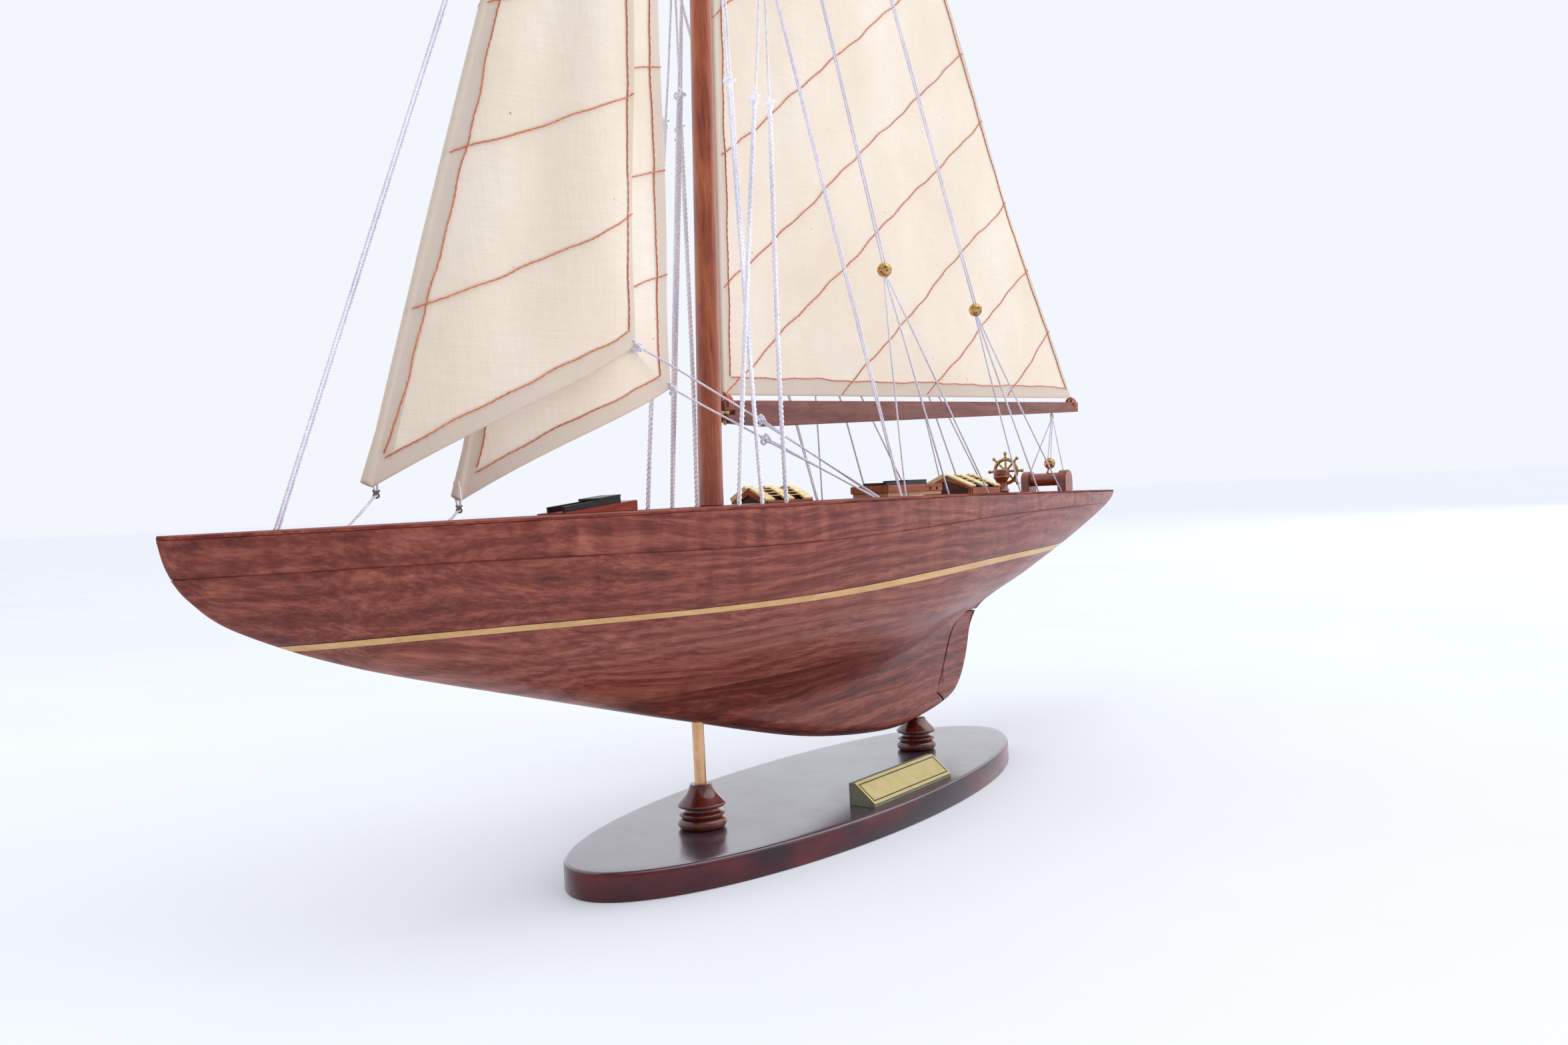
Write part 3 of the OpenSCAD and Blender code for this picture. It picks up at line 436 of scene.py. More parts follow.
def board(x, y, z, bevel=0.2):
    """A box between two values on each axis, with rounded edges."""
    return prism([(x[0], y[0]), (x[1], y[0]), (x[1], y[1]), (x[0], y[1])], z[0], z[1], bevel)


QUARTER = math.pi / 2
UPRIGHT = turned(QUARTER, "X")  # turns an outline in x and y into one in x and z
ACROSS = Matrix(((0, 0, 1, 0), (1, 0, 0, 0), (0, 1, 0, 0), (0, 0, 0, 1)))  # and into one in y and z


def side_board(outline, y_low, y_high, bevel=0.2):
    """A solid with an outline in x and z, between two values of y."""
    return moved(prism(outline, -y_high, -y_low, bevel), UPRIGHT)


def lathe(profile, sides=48, ends=True):
    """A turned solid from (radius, height) points, which run up its outside. A profile that closes on itself
    has no ends to cap."""
    p = np.array(profile, float)
    a = angles(sides)
    verts = np.stack([p[:, :1] * np.cos(a), p[:, :1] * np.sin(a), np.repeat(p[:, 1:], sides, 1)], -1)
    return verts.reshape(-1, 3), capped(len(p), sides) if ends else grid(len(p), sides, True)


def arc(cx, cy, r, a, b, n=8):
    t = np.radians(np.linspace(a, b, n + 1))
    return [(cx + r * math.cos(x), cy + r * math.sin(x)) for x in t]


def frames_along(path):
    """Two directions across a path at each point, which turn no more than the path does."""
    p = np.asarray(path, float)
    t = np.gradient(p, axis=0)
    t /= norm(t, axis=1, keepdims=True)
    start = np.cross(t[0], [0, 1, 0.13])
    n = [start / norm(start)]
    for k in range(1, len(p)):
        v = n[-1] - t[k] * (n[-1] @ t[k])
        n.append(v / norm(v))
    n = np.array(n)
    return n, np.cross(t, n)


def tube(path, radius, sides=8, twist=None, lobe=0.0, closed=False):
    """A tube along a path. lobe gives its section three lobes, as a laid cord has, and twist is their angle at
    each point."""
    p = np.asarray(path, float)
    n, b = frames_along(p)
    a = angles(sides)
    r = np.broadcast_to(np.asarray(radius, float), (len(p),))[:, None] * (1 + lobe * np.cos(3 * a))
    turn = a + (0 if twist is None else np.asarray(twist)[:, None])
    x, y = (r * np.cos(turn))[..., None], (r * np.sin(turn))[..., None]
    verts = p[:, None] + x * n[:, None] + y * b[:, None]
    if closed:
        last = (len(p) - 1) * sides
        seam = [[last + k, last + (k + 1) % sides, (k + 1) % sides, k] for k in range(sides)]
        return verts.reshape(-1, 3), grid(len(p), sides, True) + seam
    return verts.reshape(-1, 3), capped(len(p), sides)


def rope(a, b, d, slack=0.5):
    """A laid cord of three strands between two points, drawn nearly straight. Thick ones get finer steps."""
    a, b = np.array(a, float), np.array(b, float)
    long = norm(b - a)
    pitch = 3.1 * d
    steps, sides = (9, 9) if d > 1.4 else (6.5, 6)
    t = np.linspace(0, 1, max(3, int(long / pitch * steps)))
    side = np.array([rng.normal(), rng.normal(), 0])
    side /= norm(side)
    sway = slack * (np.sin(math.pi * t) + 0.25 * np.sin(2 * math.pi * t + rng.random()) * np.sin(math.pi * t))
    path = a + (b - a) * t[:, None] + sway[:, None] * side
    return tube(path, d * 0.47, sides, t * long / pitch * 2 * math.pi, 0.17)


def knot(centre, size, d, lean=(0.0, 0.0, 0.0), stretch=1.0):
    """An overhand knot of a cord, about size across."""
    t = angles(72)
    p = np.stack([np.sin(t) + 2 * np.sin(2 * t), np.cos(t) - 2 * np.cos(2 * t), -np.sin(3 * t) * 1.4], 1)
    p = p / 6 * size * np.array([1, 1, stretch])
    x, y, z = (Matrix.Rotation(angle, 3, axis) for angle, axis in zip(lean, "XYZ"))
    return tube(p @ np.array(x @ y @ z).T + np.array(centre, float), d * 0.5, 7, closed=True)


def face_outward(mesh, weld=0.0):
    bm = bmesh.new()
    bm.from_mesh(mesh)
    if weld:
        bmesh.ops.remove_doubles(bm, verts=bm.verts, dist=weld)
    bmesh.ops.recalc_face_normals(bm, faces=bm.faces)
    bm.to_mesh(mesh)
    bm.free()


def make(name, parts, material, nodes=(), body="root", sharp=35):
    """One piece from parts of (vertices, faces) or (vertices, faces, material number). It replaces CAD nodes
    and rides on a body, unless body is None. Edges sharper than sharp, in degrees, stay crisp."""
    verts, faces, numbers, start = [], [], [], 0
    for part in parts:
        v, f = part[:2]
        verts.append(np.asarray(v, float))
        faces += [[start + i for i in face] for face in f]
        numbers += [part[2] if len(part) > 2 else 0] * len(f)
        start += len(v)
    mesh = bpy.data.meshes.new(name)
    mesh.from_pydata(np.concatenate(verts) * MM, [], faces)
    mesh.polygons.foreach_set("material_index", numbers)
    for m in [material] if isinstance(material, str) else material:
        mesh.materials.append(MATERIALS[m])
    face_outward(mesh, 1e-7)
    mesh.polygons.foreach_set("use_smooth", [True] * len(mesh.polygons))
    mesh.set_sharp_from_angle(angle=math.radians(sharp))
    piece = link(name, mesh)
    if body:
        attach(piece, body)
    if nodes:
        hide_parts(*nodes)
    return piece


# ---- hull form, as in the CAD source ----
KEEL_PTS = [
    (276.8, 126.6), (274.9, 119.5), (269.5, 111.5), (255.9, 101.8), (219.8, 87.7), (151.3, 68.4),
    (84.3, 50.2), (13.3, 32.2), (-45, 24.1), (-78.7, 25.2), (-106.5, 29.2), (-118.4, 34.8), (-127.3, 46.2),
    (-132.1, 58.6), (-135.2, 69.2), (-144.8, 76.7), (-162.2, 81.1), (-209, 92), (-261, 105.3), (-321.8, 121.9),
]
CANOE_PTS = [
    (276.8, 126.6), (274.9, 119.5), (269.5, 111.5), (255.9, 101.8), (219.8, 87.7), (151.3, 69.2),
    (100, 62.5), (50, 58.5), (0, 58), (-50, 62), (-100, 71.5), (-130, 75.5), (-162.2, 81.1), (-209, 92),
    (-261, 105.3), (-321.8, 121.9),
]
FIN_PTS = [
    (277, 0.16), (220, 0.24), (150, 0.45), (80, 0.8), (0, 1), (-60, 0.98), (-90, 0.72), (-105, 0.54),
    (-120, 0.35), (-134, 0.2), (-160, 0.18), (-322, 0.15),
]
BOW, STERN, WIDEST = 276.8, -321.8, -12.0
HALF_BEAM, SHEER, EDGE_HALF, FIN_HALF = 46.5, 128.0, 0.4, 6.8
STRIPE, STRIPE_W, SEAM_RISE = 96.9, 2.8, 20.5
DECK_T, CAMBER = 0.8, 0.3
STATION = 2.0  # spacing of the hull's cross sections


def curve(points, n):
    """The Catmull-Rom curve through points, as arrays of x and z with x rising."""
    p = np.array(points, float)
    q = np.vstack([p[0], p, p[-1]])
    t = np.linspace(0, 1, n, endpoint=False)[:, None]
    out = []
    for a, b, c, d in zip(q, q[1:], q[2:], q[3:]):
        square, cube = (2 * a - 5 * b + 4 * c - d) * t**2, (3 * b - a - 3 * c + d) * t**3
        out.append(0.5 * (2 * b + (c - a) * t + square + cube))
    full = np.vstack([*out, p[-1]])[::-1]
    return full[:, 0], full[:, 1]


KEEL, CANOE, FIN = curve(KEEL_PTS, 24), curve(CANOE_PTS, 24), curve(FIN_PTS, 12)


def ramp(x, a, b):
    return np.clip((x - a) / (b - a), 0, 1)


def mix(a, b, t):
    return a + (b - a) * t


def keel_z(x):
    return np.interp(x, *KEEL)


def canoe_z(x):
    return np.maximum(keel_z(x), np.interp(x, *CANOE))


def sheer_at(x):
    return SHEER - 3.1 * ramp(x, -60, STERN)


def deck_edge(x):
    fore = (1 - ramp(x, WIDEST, BOW) ** 2) ** 0.8
    aft = (1 - ramp(x, WIDEST, STERN) ** 2) ** 0.62 * ramp(x, STERN, STERN + 40) ** 0.15
    return HALF_BEAM * np.where(np.asarray(x) > WIDEST, fore, aft)


def stripe_mid(x):
    return STRIPE + ramp(x, 242, -232) - 4 * np.exp(-(((x - 60) / 120) ** 2))


def stripe_half(x):
    return STRIPE_W / 2 * mix(1, 0.62, ramp(x, -20, 120))


def stripe_low(x):
    return stripe_mid(x) - stripe_half(x)


def stripe_high(x):
    return stripe_mid(x) + stripe_half(x)


def seam_at(x):
    return stripe_mid(x) + SEAM_RISE


def lift_top(x):
    return sheer_at(x) - DECK_T


def deck_z(x):
    return float(sheer_at(x)) + CAMBER


def half_breadth(x, z):
    full = 1 - (np.abs(x - WIDEST) / 320) ** 2
    low = canoe_z(x)
    soft = 0.055
    u = (z - low) / (sheer_at(x) - low)
    us = np.minimum(soft * np.log1p(np.exp(u / soft)), 1)
    body = deck_edge(x) * (1 - (1 - us) ** mix(1.7, 2.15, full)) ** (1 / mix(1.4, 2, full))
    fin = FIN_HALF * np.interp(x, *FIN)
    v = ramp(z, keel_z(x), keel_z(x) + 5)
    return np.maximum(EDGE_HALF, (body**2.2 + fin**2.2) ** (1 / 2.2) * np.sqrt(1 - (1 - v) ** 2))


def stations(high):
    """Where a band of the hull has height, closer together near its ends."""
    near_stern, near_bow = STERN + np.geomspace(0.2, 3, 6), BOW - np.geomspace(0.05, 12, 24)
    x = np.unique(np.concatenate([np.arange(STERN, BOW, STATION), near_stern, near_bow, [BOW]]))
    x = x[high(x) - keel_z(x) > 0.05]
    ends = []
    for inner, outer in ((x[0], x[0] - STATION), (x[-1], x[-1] + STATION)):
        outer = min(max(outer, STERN), BOW)
        for _ in range(30):
            m = (inner + outer) / 2
            inner, outer = (m, outer) if high(m) - keel_z(m) > 0.02 else (inner, m)
        ends.append(inner)
    return np.unique(np.concatenate([[ends[0]], x, [ends[1]]]))


def hull_band(low, high, rows, power=1.0, ease=0.0):
    """The closed solid of the hull between two levels, port side up and starboard side down in each ring.
    With ease, its long edges are taken back by that much, so that a glued joint shows as a fine groove."""
    x = stations(high)
    share = np.linspace(0, 1, rows + 1) ** power
    bottom = np.maximum(keel_z(x), low(x))[:, None]
    tall = high(x)[:, None] - bottom
    z = bottom + tall * share
    if ease:
        corner = np.minimum(ease, tall / 4)
        z = np.concatenate([z[:, :1], bottom + corner, z[:, 1:-1], bottom + tall - corner, z[:, -1:]], 1)
    xs = np.repeat(x[:, None], z.shape[1], 1)
    y = half_breadth(xs, z)
    if ease:
        y[:, [0, -1]] = np.maximum(y[:, [0, -1]] - ease, EDGE_HALF / 2)
    port = np.stack([xs, y, z], -1)
    star = np.stack([xs, -y, z], -1)[:, ::-1]
    ring = np.concatenate([port, star], 1)
    n = ring.shape[1]
    faces = grid(len(x), n, True)
    for e in (0, (len(x) - 1) * n):
        faces += [[e + k, e + k + 1, e + n - 2 - k, e + n - 1 - k] for k in range(n // 2 - 1)]
    return ring.reshape(-1, 3), faces


# ---- rudder ----
HEEL, HEAD = np.array([-95, 33.0]), np.array([-119, 70.2])
AXIS = HEAD - HEEL
TILT = math.atan2(AXIS[0], AXIS[1])
NOSE = [(5.5, 0), (5, 11), (4.7, 18), (4.5, 25), (4.4, 31), (4.3, 50)]
RUDDER_TOP, RUDDER_GAP, RUDDER_HALF = 69.4, 0.7, 4.2


def temporary(part):
    mesh = bpy.data.meshes.new("temporary")
    mesh.from_pydata(part[0], [], part[1])
    face_outward(mesh)
    return link("temporary", mesh)


def boolean(part, other, operation):
    """The solid that a boolean of two closed meshes leaves."""
    a, b = temporary(part), temporary(other)
    m = a.modifiers.new("cut", "BOOLEAN")
    m.operation, m.object, m.solver = operation, b, "EXACT"
    mesh = bpy.data.meshes.new_from_object(a.evaluated_get(bpy.context.evaluated_depsgraph_get()))
    verts = np.array([v.co for v in mesh.vertices], float).reshape(-1, 3)
    faces = [list(p.vertices) for p in mesh.polygons]
    for o in (a, b):
        bpy.data.objects.remove(o)
    bpy.data.meshes.remove(mesh)
    return verts, faces


def rudder_space(g, top):
    """Everything that the rudder may fill, grown by g: a round nose on its axis and all that is aft of it."""
    aft = np.array([-math.cos(TILT), math.sin(TILT)])
    unit = AXIS / norm(AXIS)
    heel, head = HEEL - g * unit, HEEL + (norm(AXIS) + 6) * unit
    back = side_board([tuple(heel), tuple(heel + 18 * aft), (-170, 10), (-170, 90), tuple(head)], -20, 20, 0)
    tall = NOSE[-1][1]
    r = np.interp(np.linspace(0, tall, 40), [p[1] for p in NOSE], [p[0] for p in NOSE])
    outline = [(r[0] + g, 0), *zip(r + g, np.linspace(g, tall + g, 40))]
    seat = shift(HEEL[0], 0, HEEL[1]) @ turned(TILT, "Y") @ shift(0, 0, -g)
    both = boolean(back, moved(lathe(outline, 64), seat), "UNION")
    return boolean(both, board((-180, -70), (-30, 30), (0, top), 0), "INTERSECT")


def shade_gap(o):
    """Painted shade: a dark, unpolished finish on the faces of the narrow gap ahead of the rudder, where shade
    falls.
    """
    o.data.materials.append(MATERIALS["painted_shade"])
    for face in o.data.polygons:
        x, y, z = (c / MM for c in face.center)
        if x < -85 and z < RUDDER_TOP + 1.2 and abs(y) < half_breadth(np.array([x]), np.array([z]))[0] - 0.3:
            face.material_index = 1


def make_hull():
    bottom = hull_band(keel_z, stripe_low, 46, 1.5)
    keel = boolean(bottom, rudder_space(RUDDER_GAP + 0.35, RUDDER_TOP + 1), "DIFFERENCE")
    shade_gap(make("hull_bottom", [keel], "bottom", ["keel_lift"], sharp=32))
    blade = boolean(bottom, rudder_space(0, RUDDER_TOP), "INTERSECT")
    blade = boolean(blade, board((-180, -70), (-RUDDER_HALF, RUDDER_HALF), (0, 80), 0), "INTERSECT")
    shade_gap(make("rudder_blade", [blade], "bottom", ["rudder"], "rudder", 32))
    inlay = hull_band(stripe_low, stripe_high, 3)
    make("waterline_inlay", [inlay], "stripe", ["waterline_stripe"])
    for name, low, high in (("topside", stripe_high, seam_at), ("sheer", seam_at, lift_top)):
        make(f"{name}_plank", [hull_band(low, high, 16, ease=0.34)], name, [f"{name}_lift"])
    x = stations(lift_top)
    edge = half_breadth(x, lift_top(x))
    across = np.linspace(1, -1, 25)
    chamfer = 0.12
    wide = np.maximum(edge - chamfer, 0.3)[:, None] * across
    crown = sheer_at(x)[:, None] + CAMBER * (1 - np.abs(across) ** 1.6)
    ring = [np.stack([np.repeat(x[:, None], 25, 1), wide, crown], -1)]
    for s, drop in ((-1, chamfer), (-1, DECK_T), (1, DECK_T), (1, chamfer)):
        ring.append(np.stack([x, s * edge, sheer_at(x) - drop], -1)[:, None])
    ring = np.concatenate(ring, 1)
    n = ring.shape[1]
    faces = grid(len(x), n, True) + [list(range(n)), [(len(x) - 1) * n + k for k in range(n)]]
    make("deck_panel", [(ring.reshape(-1, 3), faces)], "deck", ["deck"])


make_hull()

# ---- stand ----
BASE_L, BASE_W, BASE_T, BASE_ROUND = 282.0, 99.0, 10.0, 1.8
POST_X, POST_H, ROD_D = 78.0, 16.2, 4.4


def make_base():
    sides, rim = 256, BASE_T - BASE_ROUND
    a = angles(sides)
    edge = [(-1.0, 0), (-0.3, 0.15), (0, 0.7), (0, rim)]
    for t in np.radians(np.linspace(8, 90, 10)):
        edge.append((-BASE_ROUND + BASE_ROUND * math.cos(t), rim + BASE_ROUND * math.sin(t)))
    rings = []
    for g, z in edge:
        x, y = (BASE_L / 2 + g) * np.cos(a), (BASE_W / 2 + g) * np.sin(a)
        rings.append(np.stack([x, y, np.full(sides, z)], 1))
    for share in (0.96, 0.85, 0.6, 0.3):
        rings.append(rings[len(edge) - 1] * [share, share, 1])
    part = np.concatenate(rings), capped(len(rings), sides)
    base = make("stand_base", [part], ["base", "base_top_painted_sheen"], ["base_board"])
    # The top faces take the lighter top finish, whose lilac is partly a painted reflection.
    for face in base.data.polygons:
        face.material_index = int(face.center[2] > (BASE_T - 0.5) * MM)


def post_profile(top):
    """The outside of a turned post, from its bottom bead to the shoulder round the rod."""
    p = [(6.6, 0), (7.4, 0), *arc(7, 2.1, 2.1, -80, 80, 14), (6.9, 4.25), (6.95, 4.5), (8.1, 4.8)]
    p += [(8.45, 5.0), (8.6, 5.4), (8.45, 5.75), (8.1, 6), (6.8, 6.35), (6.5, 6.7), (6.4, 7.3), (6.5, 7.7)]
    p += [(6.8, 7.95), *arc(8.2, 8.9, 0.8, -80, 60, 10), *arc(13.4, 18.4, 9.6, 228, 184, 18)]
    p += [(3.75, POST_H - 0.15), (3.6, POST_H)]
    p = [q for q in p if q[1] <= top]
    bore, shoulder = ROD_D / 2 + 0.05, min(top, p[-1][1] + 0.2)
    return [*p, (p[-1][0] - 0.3, shoulder), (bore, shoulder), (bore, 0)]


def make_stand():
    make_base()
    aft_top = float(keel_z(-POST_X)) - BASE_T - 0.2
    for x, node, top in ((POST_X, "fore_post", POST_H), (-POST_X, "aft_post", aft_top)):
        post = moved(lathe([*post_profile(top), (6.6, 0)], 96, False), shift(x, 0, BASE_T))
        make(f"turned_{node}", [post], "turned", [node], sharp=50)
    for x, node, rise in ((POST_X, "fore_rod", 14), (-POST_X, "aft_rod", 18)):
        top = float(keel_z(x)) + rise - BASE_T
        r = ROD_D / 2
        rod = [(0.01, 0.02), (r - 0.2, 0.02), (r, 0.2), (r, top - 0.3), (r - 0.3, top), (0.01, top)]
        rod = moved(lathe(rod, 64), shift(x, 0, BASE_T))
        make(f"support_{node}", [rod], "brass", [node])
    section = [(31.5, 0), (43, 0), (43, 0.8), (33.6, 8.6), (31.5, 8.6)]
    middle, half = -3, 30
    block = moved(prism(section, -half, half, 0.18), shift(middle, 0, BASE_T) @ ACROSS)
    make("nameplate_wedge", [block], "block_end", ["nameplate_block"])
    low, high = np.array(section[2]), np.array(section[3])
    run = high - low
    long = norm(run)
    y, z = run / long
    slope = Matrix(((-1, 0, 0, middle), (0, y, z, low[0]), (0, z, -y, low[1] + BASE_T), (0, 0, 0, 1)))
    parts = [(*moved(board((-half, half), (0.02 * long, 0.98 * long), (0, 0.6), 0.12), slope), 0)]
    w, gap = 0.5, 1.3  # the border's width and its distance from the plate's edge
    x1, y0, y1 = half - gap, 0.02 * long + gap, 0.98 * long - gap
    wide, tall = (-x1, x1), (y0, y1)
    for x, y in ((wide, (y0, y0 + w)), (wide, (y1 - w, y1)), ((-x1, -x1 + w), tall), ((x1 - w, x1), tall)):
        parts.append((*moved(board(x, y, (0.5, 0.68), 0.03), slope), 1))
    make("nameplate_face", parts, ["plate", "black"], ["nameplate_plate"])


make_stand()

# ---- spars ----
MAST_X, MAST_FOOT, MAST_RAKE, MAST_TOP = 64.0, SHEER + CAMBER, 0.0428, 688.0
MAST_D, MAST_TOP_D = 9.4, 5.4
MAST_TILT = math.atan(MAST_RAKE)


def mast_at(z):
    return MAST_X - MAST_RAKE * (z - MAST_FOOT)


def mast_r(z):
    return mix(MAST_D, MAST_TOP_D, float(ramp(z, MAST_FOOT, MAST_TOP))) / 2


def on_mast(z=MAST_FOOT):
    return shift(mast_at(z), 0, z) @ turned(-MAST_TILT, "Y")


LOWER_TIP, UPPER_TIP = (44, 22, 334), (38.5, 17, 501)
SHEET_EYE_X = -244  # the screw eye under the boom that the mainsheet hangs from


def make_spars():
    long = (MAST_TOP - MAST_FOOT) / math.cos(MAST_TILT)
    heights = np.linspace(0, long - 0.6, 60)
    outline = [(0.01, -14), (2.5, -14), (2.5, 0), (MAST_D / 2 - 0.25, 0), (MAST_D / 2, 0.25)]
    outline += [(mix(MAST_D, MAST_TOP_D, h / long) / 2 + 0.04 * math.sin(h / 23), h) for h in heights[1:]]
    outline += [(MAST_TOP_D / 2 - 0.5, long - 0.1), (0.01, long)]
    make("mast_spar", [moved(lathe(outline, 72), on_mast())], "spar", ["mast"])
    cap = [(0.01, 0), *arc(2.4, 1, 1, -90, 90, 12), *arc(0, 0.6, 2.2, 50, 88, 8)]
    make("mast_button", [moved(lathe(cap, 48), on_mast(MAST_TOP))], "brass", ["mast_cap"])
    for name, tip, d in (("lower", LOWER_TIP, 3.0), ("upper", UPPER_TIP, 2.6)):
        z = tip[2]
        r, x = mast_r(z), mast_at(z)
        reach = math.hypot(tip[1] - r, tip[0] - x) - 1.4
        arm = [(0.01, -0.1), (d / 2 + 0.25, -0.1), (d / 2 + 0.25, 0.9), (d / 2, 1.3), (d * 0.32, reach - 1.2)]
        arm = lathe([*arm, (d * 0.38, reach - 0.8), (d * 0.38, reach - 0.2), (0.01, reach)], 32)
        sweep = math.atan2(tip[1] - r, tip[0] - x)
        arms = []
        for s in (-1, 1):
            turn = turned(s * sweep, "Z") @ turned(QUARTER, "Y")
            arms.append(moved(arm, shift(x, s * (r - 0.1), z) @ turn))
        make(f"{name}_crosstrees", arms, "spar", [f"{name}_spreaders"])
    outline = [(-276, 177.6), (-276, 172.1), (26.8, 158.9), *arc(50.2, 165, 5.4, -100, -20, 10)]
    outline += [(55.62, 162.8), (49.5, 162.8), (49.5, 164.6), (55.72, 164.6), (55.9, 168.2)]
    stick = side_board(outline, -2.2, 2.2, 0.35)
    make("boom_spar", [stick], "boom", ["boom"], "boom")
    ring = [(1.4 + 0.4 * math.cos(t), 0.4 * math.sin(t)) for t in np.linspace(0, 2 * math.pi, 20)]
    eye = moved(lathe(ring, 40, False), shift(SHEET_EYE_X, 0, 168.8) @ UPRIGHT)
    shank = tube([(0, 0, 0), (0, 0, 0.8), (0, 0, 1.7)], [0.42, 0.4, 0.6], 14)
    shank = moved(shank, shift(SHEET_EYE_X, 0, 170))
    make("boom_screw_eye", [eye, shank], "old_brass", ["boom_eye"], "boom")


make_spars()

# ---- sails ----
CLOTH_T, HEM_T = 0.42, 0.78
MAIN = {"tack": (54.5, 170.4), "head": (38.2, 646.0), "clew": (-271.5, 180.0)}
ROACH = [(-245, 213), (-199, 281.4), (-155.2, 350), (-107, 424), (-59, 500), (-10, 580), (34.2, 646)]
# tack, head and clew, and how far the cloth bellies and the leech bows out
HEADSAILS = {
    "jib": ((218, 0, 137), (84.5, 0, 500), (113.7, 11, 184.2), 9, -1),
    "staysail": ((186.4, 0, 132.3), (71, 0, 478), (92, 7, 171), 6, 1.5),
}
LUFF_BOW, FOOT_ROUND = 3, 2.3
TACK_KNOTS = {"jib": (212.9, 0, 137.0), "staysail": (183.6, 0, 131.7)}


def main_surface(u, v):
    tack, head, clew = (np.array(MAIN[k]) for k in ("tack", "head", "clew"))
    p = np.vstack([clew, ROACH])
    step = np.concatenate([[0], np.cumsum(norm(np.diff(p, axis=0), axis=1))])
    at = v * step[-1]
    leech = np.stack([np.interp(at, step, p[:, 0]), np.interp(at, step, p[:, 1])], -1)
    luff = tack + (head - tack) * v[..., None]
    q = luff + (leech - luff) * u[..., None]
    free = np.sin(math.pi * np.clip(u, 0, 1)) * np.minimum(1, v * 14)
    sway = 1.5 * np.sin(q[..., 1] / 47 + q[..., 0] / 90) + 0.9 * np.sin(q[..., 0] / 31 - q[..., 1] / 70)
    curl = 1.3 * ramp(u, 0.9, 1.0) ** 2 * np.sin(q[..., 1] / 26)
    return np.stack([q[..., 0], free * (sway + 0.8) + curl * (1 - v) * np.minimum(1, v * 14), q[..., 1]], -1)


def headsail_surface(kind):
    tack, head, clew, belly, leech_round = HEADSAILS[kind]
    tack, head, clew = (np.array(p, float) for p in (tack, head, clew))
    phase = 0.0 if kind == "jib" else 1.7

    def surface(u, v):
        bow = (4 * v * (1 - v))[..., None] * np.array([1.0, 0, 0])
        luff = tack + (head - tack) * v[..., None] + LUFF_BOW * bow
        leech = clew + (head - clew) * v[..., None] + leech_round * bow
        p = luff + (leech - luff) * u[..., None]
        arch = 4 * u * (1 - u)
        y = belly * arch * (1 - v)
        ends = np.minimum(1, v * 9) * (1 - v)
        y = y + 1.5 * ends * np.sin(math.pi * u) * np.sin(u * 9 + v * 3.1 + phase)
        y = y - 1.5 * ends * ramp(u, 0.86, 1.0) ** 1.6 * (0.4 + 0.8 * np.sin(v * 13 + phase))
        z = FOOT_ROUND * 6.75 * u * (1 - u) ** 2 * np.maximum(1 - v, 0) ** 4
        z = z + 3.4 * np.clip(1 - u / 0.028, 0, 1) * np.clip(1 - v * 20, 0, 1)
        return p + np.stack([np.zeros_like(y), y, z], -1)

    return surface


def spaced(long, hem_a, hem_b, step):
    """Distances across a cloth, close together at its two hems."""
    a = [0, 0.25, 0.7, 1.3, 2.0, 2.6, 3.2, hem_a * 0.62, hem_a - 0.5, hem_a, hem_a + 0.35, hem_a + 1.2]
    b = [long - d for d in (hem_b + 1.2, hem_b + 0.35, hem_b, hem_b - 0.5, hem_b * 0.5, 1.4, 0.6, 0.2, 0)]
    middle = np.linspace(a[-1], b[0], max(2, int((b[0] - a[-1]) / step)))[1:-1]
    return np.array(sorted([*a, *middle, *b]))


